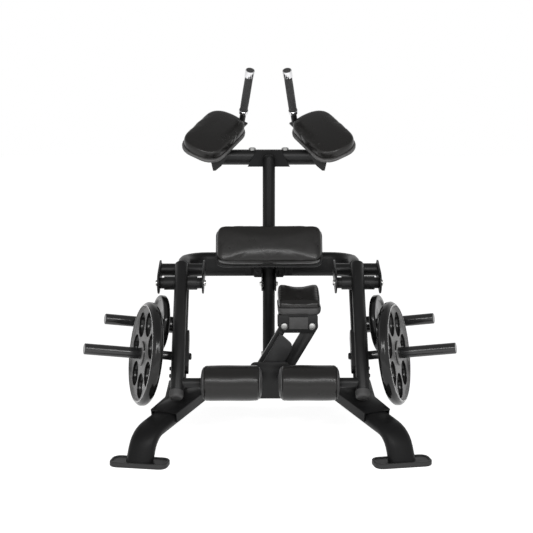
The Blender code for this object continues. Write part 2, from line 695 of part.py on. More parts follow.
def elbow_supports():
    """Top cross tube with its gussets, boards, pads, handles and grips."""
    tube = to_mesh(rod((-TBAR_HALF, TBAR_Y, TBAR_Z), (TBAR_HALF, TBAR_Y, TBAR_Z), TBAR_R, 28))
    extras = []
    board_low = -ELBOW_THICK - BOARD_T
    for name, side in SIDES.items():
        frame = elbow_frame(side)
        inner = -side
        under = board_low - SEAT
        outline = [(side * x, z) for x, z in ((0.310, 1.36), (0.268, 1.172), (0.256, 1.172),
                                              (0.228, 1.195), (0.183, 1.262), (0.183, 1.36))]
        wedge = plate([outline], 0.120, xz_plate(0.302))
        over = to_mesh(block((0.6, 0.8, 0.4), (0, 0, 0)))
        over.transform(frame @ Matrix.Translation((0, 0, under + 0.2)))
        extras.append(joined(wedge, (), (over,)))
        tongue = to_mesh(block((0.044, 0.200, 0.008), (0, 0, 0)))
        tongue.transform(frame @ Matrix.Translation((inner * 0.041, 0.120, under - 0.004)))
        extras.append(tongue)

        board = plate([rounded(ELBOW_WIDE + 0.010, ELBOW_LONG + 0.010, 0.080, 6)], BOARD_T,
                      frame @ Matrix.Translation((0, 0, board_low + BOARD_T / 2)), bevel=0.003)
        finish("elbow_board_" + name, board, GREY_PLASTIC, origin=frame.translation)
        pad = cushion(ELBOW_WIDE, ELBOW_LONG, ELBOW_THICK - SEAT, 0.078, 0.005,
                      frame @ Matrix.Translation((0, 0, -ELBOW_THICK + SEAT)))
        finish("elbow_pad_" + name, pad, VINYL, origin=frame.translation)

        foot = Vector((side * HANDLE_FOOT[0], HANDLE_FOOT[1], HANDLE_FOOT[2]))
        way = Vector((-side * HANDLE_WAY[0], HANDLE_WAY[1], HANDLE_WAY[2])).normalized()
        hand = standing(foot - way * HANDLE_SUNK, way)
        tip = HANDLE_LONG + HANDLE_SUNK
        ring_low = tip - 0.224
        ring_top = ring_low + 0.020
        cap_low = tip - 0.037
        head = GRIP_R + 0.0035
        profile = [(0.0, tip), (head - 0.004, tip), (head, tip - 0.004), (head, cap_low),
                   (HANDLE_R, cap_low), (HANDLE_R, ring_top), (head, ring_top), (head, ring_low),
                   (HANDLE_R + 0.002, ring_low), (HANDLE_R + 0.002, 0.0), (0.0, 0.0)]
        finish("handle_" + name, turned(profile, hand, 16), CHROME, origin=hand.translation)
        low, high = ring_top + SEAT, cap_low - SEAT
        bore = HANDLE_R + SEAT
        profile = [(bore, high), (GRIP_R - 0.001, high), (GRIP_R, high - 0.002), (GRIP_R, low + 0.002),
                   (GRIP_R - 0.001, low), (bore, low), (bore, high)]
        finish("handle_grip_" + name, turned(profile, hand, 16), GRIP_RUBBER,
               origin=hand.translation)
    bar = joined(tube, extras)
    finish("elbow_cross_tube", bar, BLACK_PAINT, origin=(0, TBAR_Y, TBAR_Z))


def thigh_support():
    """Thigh pad, its board and the two straps that hold it to the U-frame."""
    lean = math.radians(THIGH_LEAN)
    up = Vector((0, math.sin(lean), math.cos(lean)))
    face = Vector((0, -math.cos(lean), math.sin(lean)))
    frame = basis((1, 0, 0), up, face, (0, THIGH_Y, THIGH_Z))
    board_t = 0.012
    back = -THIGH_T / 2
    pad = cushion(THIGH_W, THIGH_H, THIGH_T - SEAT, 0.040, 0.006,
                  frame @ Matrix.Translation((0, 0, back + SEAT)))
    finish("thigh_pad", pad, VINYL, origin=frame.translation)
    board = plate([rounded(THIGH_W + 0.004, THIGH_H + 0.004, 0.038, 4)], board_t,
                  frame @ Matrix.Translation((0, 0, back - board_t / 2)), bevel=0.003)
    finish("thigh_board", board, BOARD, origin=frame.translation)
    strap_t = 0.006
    depth = back - board_t - SEAT - strap_t / 2
    foot_y = U_Y - OVAL_T / 2 - SEAT - strap_t / 2
    for name, side in SIDES.items():
        x = side * 0.098
        low = frame @ Vector((x, -0.065, depth))
        high = frame @ Vector((x, 0.075, depth))
        path = smooth_path(((x, foot_y, U_Z - 0.052), (x, foot_y, U_Z + 0.045), low, high), 0.014, 4)
        section = [(-0.020, -0.003), (0.020, -0.003), (0.020, 0.003), (-0.020, 0.003)]
        strap = swept(path, section, ((1, 0, 0), (1, 0, 0)))
        finish("thigh_pad_strap_" + name, strap, BLACK_PAINT, origin=(x, foot_y, U_Z))


def arm_axes(side):
    """The arm's foot on the curl axis, its downward direction and its backward direction."""
    tilt = math.radians(ARM_TILT)
    foot = Vector((side * ARM_X, -ARM_OFFSET * math.cos(tilt), PIVOT_Z + ARM_OFFSET * math.sin(tilt)))
    down = Vector((0.0, -math.sin(tilt), -math.cos(tilt)))
    back = Vector((0.0, math.cos(tilt), -math.sin(tilt)))
    return foot, down, back


def horn_direction(side):
    """Direction of the weight horns, outwards, towards the user and up."""
    yaw = math.radians(HORN_YAW)
    rise = math.radians(HORN_RISE)
    return Vector((side * math.cos(rise) * math.cos(yaw), -math.cos(rise) * math.sin(yaw),
                   math.sin(rise)))


def standing(place_at, direction):
    """Matrix that stands a shape's Z along a direction at a point."""
    turn = Vector(direction).to_track_quat("Z", "Y").to_matrix().to_4x4()
    return Matrix.Translation(place_at) @ turn


def horn_tip(length):
    """Profile of a horn's outer end, with a small rounding."""
    return [(0.0, length), (HORN_R - 0.003, length), (HORN_R, length - 0.003)]


def curl_arm(name, side):
    """One curl arm with its hub, horn, weight plate, caps and roller."""
    foot, down, back = arm_axes(side)
    pivot = Vector((side * ARM_X, 0.0, PIVOT_Z))
    hinge = empty("curl_axis_" + name, pivot, machine)
    top = foot - down * ARM_UP
    low = foot + down * ARM_DOWN
    length = ARM_UP + ARM_DOWN
    profile = [(0.0, length + TOP_CAP_H), (TUBE_R * 0.6, length + TOP_CAP_H * 0.85),
               (TUBE_R * 0.94, length + TOP_CAP_H * 0.3), (TUBE_R, length - 0.002), (TUBE_R, 0.0),
               (0.0, 0.0)]
    tube = turned(profile, standing(low, -down), 26)
    inner = PIVOT_IN_X + PLATE_T / 2 + RUN
    outer = PIVOT_OUT_X - PLATE_T / 2 - RUN
    profile = [(0.0, outer), (HUB_END_R, outer), (HUB_END_R, outer - HUB_STEP),
               (HUB_R, outer - HUB_STEP), (HUB_R, inner + HUB_STEP), (HUB_END_R, inner + HUB_STEP),
               (HUB_END_R, inner), (0.0, inner)]
    across = basis((0, 0, -side), (0, 1, 0), (side, 0, 0), (0, 0, PIVOT_Z))
    hub = turned(profile, across, 24)
    bore = to_mesh(rod((side * 0.29, 0, PIVOT_Z), (side * 0.53, 0, PIVOT_Z), AXLE_R + RUN, 14))

    horn_at = foot + down * HORN_DOWN + back * HORN_BACK
    box_half = 0.033
    outline = [(0.020, -0.100), (0.040, -0.125), (0.070, -0.125), (0.090, -0.105), (0.090, 0.060),
               (0.074, 0.080), (0.038, 0.080), (0.020, 0.062)]
    frame = basis(back, down, back.cross(down), foot + down * HORN_DOWN)
    frame.translation.x -= side * BRACKET_IN / 2
    bracket = plate([outline], box_half * 2 + BRACKET_IN, frame)

    axis = foot + down * ROLLER_DOWN
    stub_end = ROLLER_OUT_X + DISC_H + RUN
    profile = [(0.0, ARM_X), (SHAFT_R, ARM_X), (SHAFT_R, stub_end), (ROLLER_SHAFT_R, stub_end),
               (ROLLER_SHAFT_R, ROLLER_IN_X + 0.004), (0.0, ROLLER_IN_X + 0.004)]
    shaft_frame = basis((0, 0, -side), (0, 1, 0), (side, 0, 0), (0, axis.y, axis.z))
    shaft = turned(profile, shaft_frame, 20)
    arm = joined(tube, (hub, bracket, shaft), (bore,))
    finish("curl_arm_" + name, arm, BLACK_PAINT, hinge, pivot)

    step = TUBE_R + 0.0015
    profile = [(0.0, CAP_H), (step * 0.55, CAP_H * 0.93), (step * 0.86, CAP_H * 0.7),
               (step, CAP_H * 0.36), (step, 0.0), (0.0, 0.0)]
    bumper = turned(profile, standing(low + down * SEAT, down), 24)
    finish("arm_bumper_" + name, bumper, GREY_PLASTIC, hinge, low)

    heading = horn_direction(side)
    length = HORN_LENGTH
    profile = horn_tip(length) + [(HORN_R, BIG_AT - 0.050), (HORN_SHAFT_R, BIG_AT - 0.054),
                                  (HORN_SHAFT_R, 0.0), (0.0, 0.0)]
    horn = turned(profile, standing(horn_at, heading), 24)
    inside = to_mesh(block((0.4, 0.4, 0.4), (side * (ARM_X + box_half + SEAT - 0.2), horn_at.y, horn_at.z)))
    horn = joined(horn, (), (inside,))
    finish("weight_horn_" + name, horn, BLACK_PAINT, hinge, horn_at)

    centre = horn_at + heading * BIG_AT
    finish("weight_plate_" + name, weight_plate(standing(centre, heading)), CAST_GREY, hinge, centre)

    spin = empty("roller_axis_" + name, (0, axis.y - pivot.y, axis.z - pivot.z), hinge)
    core_r = ROLLER_SHAFT_R + RUN + 0.004
    edge = ROLLER_EDGE
    low_x, high_x = ROLLER_IN_X, ROLLER_OUT_X
    profile = [(core_r + SEAT, high_x)]
    profile += [(ROLLER_R - edge + edge * math.sin(a), high_x - edge + edge * math.cos(a))
                for a in (0.0, 0.785, 1.571)]
    profile += [(ROLLER_R - edge + edge * math.cos(a), low_x + edge - edge * math.sin(a))
                for a in (0.0, 0.785, 1.571)]
    profile += [(core_r + SEAT, low_x), (core_r + SEAT, high_x)]
    foam = turned(profile, shaft_frame, 34)
    middle = (side * (low_x + high_x) / 2, axis.y, axis.z)
    finish("roller_" + name, foam, VINYL, spin, middle)
    bore_r = ROLLER_SHAFT_R + RUN
    face, end = high_x + SEAT, low_x - SEAT
    profile = [(bore_r, face + DISC_H), (DISC_R * 0.45, face + DISC_H),
               (DISC_R * 0.8, face + DISC_H * 0.72), (DISC_R, face + 0.003), (DISC_R, face),
               (core_r, face), (core_r, end), (DISC_R, end), (DISC_R, end - 0.003),
               (DISC_R * 0.8, end - DISC_H * 0.72), (DISC_R * 0.45, end - DISC_H), (0.0, end - DISC_H),
               (0.0, end), (bore_r, end), (bore_r, face + DISC_H)]
    finish("roller_core_" + name, turned(profile, shaft_frame, 24), BLACK_PAINT, spin, middle)


def weight_plate(matrix):
    """Cast plate: raised rim and hub, dished web with a ring of oval openings."""
    half = BIG_T / 2
    web = half - BIG_DISH
    bore = HORN_R + RUN
    rim_in = BIG_R - 0.032
    profile = [(bore, half), (BIG_HUB_R - 0.006, half), (BIG_HUB_R, web), (rim_in - 0.014, web),
               (rim_in, half), (BIG_R - 0.006, half), (BIG_R, half - 0.006),
               (BIG_R, 0.006 - half), (BIG_R - 0.006, -half), (rim_in, -half), (rim_in - 0.014, -web),
               (BIG_HUB_R, -web), (BIG_HUB_R - 0.006, -half), (bore, -half), (bore, half)]
    body = turned(profile, Matrix.Identity(4), 48)
    middle = (BIG_RING_IN + BIG_RING_OUT) / 2
    reach = (BIG_RING_OUT - BIG_RING_IN) / 2
    slots = []
    for i in range(BIG_SLOTS):
        heading = 2 * math.pi * (i + 0.5) / BIG_SLOTS
        outline = []
        for k in range(10):
            turn = 2 * math.pi * k / 10
            radial = reach * math.cos(turn)
            width = math.sin(turn) * (0.0215 + 0.0075 * math.cos(turn))
            x = (middle + radial) * math.cos(heading) - width * math.sin(heading)
            y = (middle + radial) * math.sin(heading) + width * math.cos(heading)
            outline.append((x, y))
        slots.append(plate([outline], BIG_T * 2, Matrix.Identity(4)))
    mesh = joined(body, (), (group(*slots),))
    mesh.transform(matrix)
    return mesh


def storage(name, side):
    """Storage horn on the upright with its hub and the small plate it holds."""
    heading = horn_direction(side)
    start = Vector((side * UPRIGHT_X, STORE_Y, STORE_Z))
    outer_face = side * (UPRIGHT_X + UPRIGHT_W / 2 + SEAT)
    hub_end = 0.085
    profile = horn_tip(STORE_LENGTH) + [(HORN_R, hub_end), (STORE_HUB_R - 0.003, hub_end),
                                        (STORE_HUB_R, hub_end - 0.003), (STORE_HUB_R, 0.0), (0.0, 0.0)]
    horn = turned(profile, standing(start, heading), 24)
    inside = to_mesh(block((0.4, 0.4, 0.4), (outer_face - side * 0.2, start.y, start.z)))
    finish("storage_horn_" + name, joined(horn, (), (inside,)), BLACK_PAINT, origin=start)
    half = SMALL_T / 2
    bore = HORN_R + RUN
    rim = SMALL_R - 0.020
    profile = [(bore, half), (0.044, half), (0.048, half - 0.008), (rim - 0.008, half - 0.008),
               (rim, half), (SMALL_R - 0.005, half), (SMALL_R, half - 0.005),
               (SMALL_R, 0.005 - half), (SMALL_R - 0.005, -half), (rim, -half),
               (rim - 0.008, 0.008 - half), (0.048, 0.008 - half), (0.044, -half), (bore, -half),
               (bore, half)]
    centre = start + heading * (hub_end + SEAT + half)
    plate_mesh = turned(profile, standing(centre, heading), 34)
    finish("storage_plate_" + name, plate_mesh, CAST_GREY, origin=centre)


def block_between(low, high):
    """A box between two corners."""
    low, high = Vector(low), Vector(high)
    return to_mesh(block(high - low, (low + high) / 2))


def link(length, width, front, back, hole, lean):
    """A flat link with round ends, its lower pivot at X 0, Z 0."""
    outline = link_outline((0.0, 0.0), width / 2, (0.0, length), width / 2 - 1e-5, 8)
    shape = plate([outline, ring((0.0, 0.0), PIN_R + RUN, 16), ring((0.0, length), hole, 16)],
                  back - front, xz_plate((front + back) / 2))
    shape.transform(Matrix.Rotation(lean, 4, "Y"))
    return shape


def knee_support():
    """Knee mount, the two links, the carriage and the knee pad that moves from side to side."""
    lean = math.atan2(LINK_SIDE, LINK_RISE)
    length = math.hypot(LINK_SIDE, LINK_RISE)
    front_back = MOUNT_FRONT_Y + MOUNT_T
    outline = [(-0.048, BEAM_Z - 0.030), (0.048, BEAM_Z - 0.030), (0.062, BEAM_Z + 0.020),
               (0.090, BEAM_Z + 0.060)]
    outline += arc((0.066, 0.315), 0.024, 0, 90, 5)
    outline += arc((-0.066, 0.315), 0.024, 90, 180, 5)
    outline += [(-0.090, BEAM_Z + 0.060), (-0.062, BEAM_Z + 0.020)]
    holes = [ring((side * LINK_X, LINK_Z), PIN_R + SEAT, 16) for side in SIDES.values()]
    front = plate([outline] + holes, MOUNT_T, xz_plate(MOUNT_FRONT_Y + MOUNT_T / 2))
    boss = to_mesh(rod((-0.004, MOUNT_FRONT_Y + 0.002, 0.267), (-0.004, MOUNT_FRONT_Y - 0.0015, 0.267),
                       0.036, 32))
    finish("knee_mount", joined(front, (boss,)), BLACK_PAINT, origin=(0, front_back, LINK_Z))
    base = BEAM_Z + BEAM_T / 2 + SEAT
    outline = [(-0.090, base), (0.090, base)]
    outline += arc((0.066, 0.291), 0.024, 0, 90, 5)
    outline += arc((-0.066, 0.291), 0.024, 90, 180, 5)
    rear = plate([outline] + holes, 0.008, xz_plate(MOUNT_REAR_Y))
    finish("knee_mount_rear", rear, BLACK_PAINT, origin=(0, MOUNT_REAR_Y, base))
    low_face, rear_face = MOUNT_FRONT_Y - SEAT, MOUNT_REAR_Y + 0.004 + SEAT
    span = rear_face - low_face
    for name, side in SIDES.items():
        profile = [(0.0, 0.006), (0.011, 0.006), (0.013, 0.004), (0.013, 0.0), (PIN_R, 0.0),
                   (PIN_R, -span), (0.013, -span), (0.013, -span - 0.006), (0.0, -span - 0.006)]
        pin = turned(profile, standing((side * LINK_X, low_face, LINK_Z), (0, -1, 0)), 12)
        finish("knee_pin_low_" + name, pin, DARK_STEEL, origin=(side * LINK_X, front_back, LINK_Z))

    left_at = Vector((-LINK_X, 0, LINK_Z))
    right_at = Vector((LINK_X, 0, LINK_Z))
    left_hinge = empty("knee_link_left_axis", left_at, machine)
    right_hinge = empty("knee_link_right_axis", right_at, machine)
    left = link(length, LINK_W_LEFT, LINK_FRONT_Y, LINK_BACK_Y, PIN_R + RUN, lean)
    box_low, box_high = BOX_SIDE - BOX_W / 2, BOX_SIDE + BOX_W / 2
    shell = block_between((box_low, BOX_FRONT_Y, 0.034),
                          (box_high, CARRIAGE_FRONT_Y - RUN, BOX_TOP))
    core = block_between((box_low - 0.012, CARRIAGE_FRONT_Y - 0.006, 0.036),
                         (box_high, LINK_FRONT_Y + 0.014, 0.165))
    for mesh in (shell, core):
        mesh.transform(Matrix.Rotation(lean, 4, "Y"))
    left = joined(left, (core, shell))
    left.transform(Matrix.Translation(left_at))
    finish("knee_link_left", left, BLACK_PAINT, left_hinge, left_at)
    right = link(length, LINK_W_RIGHT, LINK_FRONT_Y + 0.003, LINK_BACK_Y, PIN_R + 2 * RUN, lean)
    right.transform(Matrix.Translation(right_at))
    finish("knee_link_right", right, BLACK_PAINT, right_hinge, right_at)

    top = Vector((LINK_SIDE, 0, LINK_RISE))
    carriage = empty("knee_carriage_axis", top, left_hinge)
    left_x, right_x = LINK_SIDE - LINK_X, LINK_SIDE + LINK_X
    pin_z = LINK_Z + LINK_RISE
    deck_z = KNEE_BASE_Z - SEAT - 0.007
    low_x, high_x = left_x - 0.031, right_x + 0.026
    low_z = pin_z - 0.030
    outline = [(low_x + 0.026, low_z), (high_x - 0.018, low_z), (high_x, low_z + 0.022),
               (high_x, deck_z + 0.002), (low_x, deck_z + 0.002), (low_x, low_z + 0.032)]
    holes = [ring((x, pin_z), PIN_R + SEAT, 16) for x in (left_x, right_x)]
    front = plate([outline] + holes, 0.008, xz_plate(CARRIAGE_FRONT_Y + 0.004))
    rear = plate([outline] + holes, 0.008, xz_plate(CARRIAGE_REAR_Y))
    deck = block_between((low_x + 0.004, CARRIAGE_FRONT_Y + 0.001, deck_z),
                         (high_x - 0.002, 0.040, deck_z + 0.007))
    nose = CARRIAGE_FRONT_Y - 0.010
    tube_low = 0.4868  # clears the left link at full lean
    tube = block_between((0.0880, nose, tube_low), (0.1745, CARRIAGE_FRONT_Y + 0.002, deck_z + 0.002))
    spar = block_between((0.0900, CARRIAGE_REAR_Y, 0.490), (0.1700, 0.030, deck_z + 0.002))
    body = joined(front, (rear, deck, tube, spar))
    finish("knee_carriage", body, BLACK_PAINT, carriage, (left_x, 0, pin_z))
    plug = block_between((0.0885, nose - 0.004, tube_low + 0.0005), (0.1740, nose - SEAT, deck_z + 0.001))
    finish("knee_tube_plug", plug, GREY_PLASTIC, carriage, (left_x, 0, pin_z))
    rear_face = CARRIAGE_REAR_Y + 0.004 + SEAT
    face = CARRIAGE_FRONT_Y - SEAT
    for name, x in (("left", left_x), ("right", right_x)):
        profile = [(0.0, 0.008), (PIN_HEAD_R * 0.6, 0.0074), (PIN_HEAD_R * 0.92, 0.0045),
                   (PIN_HEAD_R, 0.0), (PIN_R, 0.0), (PIN_R, face - rear_face), (0.013, face - rear_face),
                   (0.013, face - rear_face - 0.006), (0.0, face - rear_face - 0.006)]
        pin = turned(profile, standing((x, face, pin_z), (0, -1, 0)), 16)
        finish("knee_pin_top_" + name, pin, CHROME, carriage, (x, 0, pin_z))

    base = plate([rounded(KNEE_W, KNEE_L, 0.030, 5)], KNEE_BASE_T,
                 Matrix.Translation((KNEE_X, KNEE_Y, KNEE_BASE_Z + KNEE_BASE_T / 2)), bevel=0.004)
    finish("knee_pad_base", base, GREY_PLASTIC, carriage, (KNEE_X, KNEE_Y, KNEE_BASE_Z))
    pad = saddle_pad(KNEE_W - 0.004, KNEE_L - 0.004,
                     Matrix.Translation((KNEE_X, KNEE_Y, KNEE_BASE_Z + KNEE_BASE_T + SEAT)))
    finish("knee_pad", pad, VINYL, carriage, (KNEE_X, KNEE_Y, KNEE_BASE_Z + KNEE_BASE_T))


def saddle_pad(width, long, matrix):
    """Stuffed pad with a trough from front to back and a higher rear."""
    steps_x = (-0.5, -0.44, -0.2, 0.0, 0.2, 0.44, 0.5)
    steps_y = (-0.5, -0.43, -0.15, 0.15, 0.43, 0.5)
    bm = bmesh.new()
    top = {}
    low = {}
    for i, u in enumerate(steps_x):
        for j, v in enumerate(steps_y):
            pull_x = 1.0 - 0.05 * (abs(v) > 0.45)
            pull_y = 1.0 - 0.05 * (abs(u) > 0.45)
            x, y = u * width * pull_x, v * long * pull_y
            rise = 0.026 + 0.030 * (v + 0.5)
            height = rise + 0.040 * (2 * u) ** 2 * (0.35 + 0.65 * (v + 0.5))
            if abs(u) > 0.45 or abs(v) > 0.45:
                height *= 0.72
            top[i, j] = bm.verts.new((x, y, height))
            low[i, j] = bm.verts.new((x, y, 0.0))
    ni, nj = len(steps_x), len(steps_y)
    for i in range(ni - 1):
        for j in range(nj - 1):
            bm.faces.new((top[i, j], top[i + 1, j], top[i + 1, j + 1], top[i, j + 1]))
            bm.faces.new((low[i, j], low[i, j + 1], low[i + 1, j + 1], low[i + 1, j]))
    rim = [(i, 0) for i in range(ni - 1)] + [(ni - 1, j) for j in range(nj - 1)]
    rim += [(i, nj - 1) for i in range(ni - 1, 0, -1)] + [(0, j) for j in range(nj - 1, 0, -1)]
    for a, b in zip(rim, rim[1:] + rim[:1]):
        bm.faces.new((top[a], low[a], low[b], top[b]))
    mesh = to_mesh(bm, "saddle")
    obj = bpy.data.objects.new("saddle", mesh)
    cutters.objects.link(obj)
    crease = mesh.attributes.new("crease_edge", "FLOAT", "EDGE")
    for edge in mesh.edges:
        flat = all(abs(mesh.vertices[v].co.z) < 1e-6 for v in edge.vertices)
        crease.data[edge.index].value = 1.0 if flat else 0.0
    soft = obj.modifiers.new("soft", "SUBSURF")
    soft.levels = 1
    soft.render_levels = 1
    return baked(obj, matrix)


base_frame()
upper_frame()
elbow_supports()
thigh_support()
for arm_name, arm_side in SIDES.items():
    curl_arm(arm_name, arm_side)
    storage(arm_name, arm_side)
knee_support()
for helper in list(cutters.objects):
    bpy.data.objects.remove(helper, do_unlink=True)
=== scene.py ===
"""Looks of a plate-loaded kneeling hamstring machine, laid out as a Blender add-on.

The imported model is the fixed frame. Every piece is in metres in that frame: X to the right of the
user, Y the way the user faces, Z up. Run as a script, it dresses the model and sets the stage.
"""

import json
import math

import bmesh
import bpy
import numpy as np
from bpy.props import FloatProperty, FloatVectorProperty, IntProperty, PointerProperty
from mathutils import Euler, Matrix, Vector

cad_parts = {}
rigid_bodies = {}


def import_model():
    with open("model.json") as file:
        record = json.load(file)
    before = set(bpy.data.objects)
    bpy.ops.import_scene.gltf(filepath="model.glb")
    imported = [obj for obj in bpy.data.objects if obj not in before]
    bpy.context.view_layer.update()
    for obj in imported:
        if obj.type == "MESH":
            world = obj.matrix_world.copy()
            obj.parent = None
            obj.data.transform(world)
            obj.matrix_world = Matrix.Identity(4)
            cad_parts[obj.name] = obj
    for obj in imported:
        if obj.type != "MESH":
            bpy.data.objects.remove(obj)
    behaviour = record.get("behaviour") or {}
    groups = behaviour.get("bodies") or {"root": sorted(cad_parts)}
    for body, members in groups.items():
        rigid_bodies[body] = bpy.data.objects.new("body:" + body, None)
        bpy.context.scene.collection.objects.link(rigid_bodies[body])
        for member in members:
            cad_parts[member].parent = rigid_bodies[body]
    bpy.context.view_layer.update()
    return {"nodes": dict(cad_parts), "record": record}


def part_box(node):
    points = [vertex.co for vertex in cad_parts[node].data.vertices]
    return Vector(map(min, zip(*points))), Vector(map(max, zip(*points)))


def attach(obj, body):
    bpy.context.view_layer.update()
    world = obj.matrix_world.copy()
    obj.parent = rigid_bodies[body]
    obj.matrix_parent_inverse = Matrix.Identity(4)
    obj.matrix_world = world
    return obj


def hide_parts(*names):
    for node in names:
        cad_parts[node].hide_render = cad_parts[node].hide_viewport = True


bl_info = {
    "name": "Kneeling Hamstring Machine",
    "version": (1, 0, 0),
    "blender": (4, 5, 0),
    "location": "3D View > Sidebar > Machine",
    "description": "Finishes, cushions, weight plates, fasteners and stage for a kneeling "
                   "hamstring machine",
    "category": "Object",
}

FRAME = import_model()
NODES = FRAME["nodes"]
BODY_OF = {node: body for body, nodes in FRAME["record"]["behaviour"]["bodies"].items()
           for node in nodes}
SLOT_OF = {part["node"]: part["material_slot"] for part in FRAME["record"]["subparts"]}
SIDES = {"left": -1, "right": 1}


def middle(node):
    """Middle of a CAD node's box."""
    low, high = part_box(node)
    return (low + high) / 2


def stem_of(node):
    """Name of a CAD node without its side."""
    return node.removesuffix("_left").removesuffix("_right")


CURL_Y, CURL_Z = middle("arm_axle_left").y, middle("arm_axle_left").z
ARM_X = 0.410               # middle plane of a curl arm
ARM_TUBE = 0.0300           # radius of its tube
ARM_TILT = math.radians(40.0)
ARM_DOWN = Vector((0, -math.sin(ARM_TILT), -math.cos(ARM_TILT)))
ARM_FRONT = Vector((0, -math.cos(ARM_TILT), math.sin(ARM_TILT)))
POST_Y = CURL_Y + 0.285
POST_FOOT_BOLT_Z, POST_CROSS_BOLT_Z, CLEVIS_BOLT_Z = 0.262, 0.612, 0.662
ELBOW_TUBE_Y, ELBOW_TUBE_Z = CURL_Y + 0.359, 1.228
LINK_PIVOT = (-0.0635, 0.0, 0.275)   # low pivot of the left knee link
LINK_LEAN = math.atan2(0.130, 0.222)
TUBE_BEAD = 0.0306          # radius of a weld bead round a 60 mm tube
SMOOTH_BELOW = math.radians(34)
JOIN_WITHIN = 0.00002       # corners of a CAD node nearer than this are one point
SAME_LEVEL = 0.0001         # points this near to the first of a node are its end ring


# ---------------------------------------------------------------- sizes and colours

class PaintLook(bpy.types.PropertyGroup):
    """Colours of the painted, moulded and plated surfaces."""

    frame: FloatVectorProperty(name="Frame", description="Powder coat of the frame", size=3,
                               subtype="COLOR", min=0, max=1, default=(0.0095, 0.0095, 0.0098))
    box: FloatVectorProperty(name="Linkage box",
                             description="Satin paint of the box on the left link",
                             size=3, subtype="COLOR", min=0, max=1, default=(0.026, 0.026, 0.0265))
    plastic: FloatVectorProperty(name="Plastic", description="Moulded caps and pad bases", size=3,
                                 subtype="COLOR", min=0, max=1, default=(0.075, 0.074, 0.074))
    rubber: FloatVectorProperty(name="Rubber", description="Foot pads", size=3,
                                subtype="COLOR", min=0, max=1, default=(0.038, 0.038, 0.038))
    cast: FloatVectorProperty(name="Plate face", description="Hammered paint of the weight plates",
                              size=3, subtype="COLOR", min=0, max=1, default=(0.26, 0.257, 0.257))
    # the plate edge colour also lies on the walls of the plates' openings and dish as painted shade
    rim: FloatVectorProperty(name="Plate edge", description="Gloss paint on the edge of the plates",
                             size=3, subtype="COLOR", min=0, max=1, default=(0.010, 0.010, 0.010))
    zinc: FloatVectorProperty(name="Zinc", description="Plated bolts and nuts", size=3,
                              subtype="COLOR", min=0, max=1, default=(0.62, 0.62, 0.61))
    chrome: FloatVectorProperty(name="Chrome", description="Caps and rings of the handles", size=3,
                                subtype="COLOR", min=0, max=1, default=(0.72, 0.72, 0.73))
    steel: FloatVectorProperty(name="Steel", description="Oiled low pins of the links", size=3,
                               subtype="COLOR", min=0, max=1, default=(0.16, 0.16, 0.16))
    grip: FloatVectorProperty(name="Grip", description="Knurled rubber of the grips", size=3,
                              subtype="COLOR", min=0, max=1, default=(0.062, 0.062, 0.062))


class PadLook(bpy.types.PropertyGroup):
    """Sizes and colour of the stuffed pads."""

    vinyl: FloatVectorProperty(name="Vinyl", description="Cover of every pad and roller", size=3,
                               subtype="COLOR", min=0, max=1, default=(0.0185, 0.0174, 0.0166))
    shrink: FloatProperty(name="Shrink", description="Taken off each pad before it swells",
                          default=0.0030, min=0, max=0.01, unit="LENGTH")
    swell: FloatProperty(name="Swell", description="Furthest that stuffing moves the cover",
                         default=0.0072, min=0, max=0.02, unit="LENGTH")
    voxel: FloatProperty(name="Cloth mesh", description="Edge of the mesh that is inflated",
                         default=0.0052, min=0.003, max=0.01, unit="LENGTH")
    pressure: FloatProperty(name="Pressure", description="Pressure in the cover", default=1.6,
                            min=0)
    seam: FloatProperty(name="Seam depth", description="How deep the seam draws the cover in",
                        default=0.0016, min=0, max=0.005, unit="LENGTH")
    piping: FloatProperty(name="Piping", description="Radius of the sewn edge cord",
                          default=0.0022, min=0.0005, max=0.006, unit="LENGTH")


class PlateSizes(bpy.types.PropertyGroup):
    """Sizes of the large weight plates."""

    radius: FloatProperty(name="Radius", description="Outer radius", default=0.233, unit="LENGTH")
    thickness: FloatProperty(name="Thickness", description="Over the rim", default=0.050,
                             unit="LENGTH")
    web: FloatProperty(name="Web", description="Thickness between rim and hub", default=0.027,
                       unit="LENGTH")
    rim: FloatProperty(name="Rim", description="Width of the raised rim", default=0.0195,
                       unit="LENGTH")
    hub: FloatProperty(name="Hub", description="Radius of the raised hub", default=0.052,
                       unit="LENGTH")
    bore: FloatProperty(name="Bore", description="Radius of the bore", default=0.0258,
                        unit="LENGTH")
    openings: IntProperty(name="Openings", description="Round openings in the web", default=7,
                          min=3)
    opening_in: FloatProperty(name="Openings from", description="Inner reach of the openings",
                              default=0.088, unit="LENGTH")
    opening_out: FloatProperty(name="Openings to", description="Outer reach of the openings",
                               default=0.2015, unit="LENGTH")


class FastenerSizes(bpy.types.PropertyGroup):
    """Sizes of bolt heads, nuts and washers."""

    head: FloatProperty(name="Head", description="Half width of a bolt head", default=0.0078,
                        unit="LENGTH")
    height: FloatProperty(name="Height", description="Height of a bolt head", default=0.0062,
                          unit="LENGTH")
    washer: FloatProperty(name="Washer", description="Radius of a washer", default=0.0108,
                          unit="LENGTH")


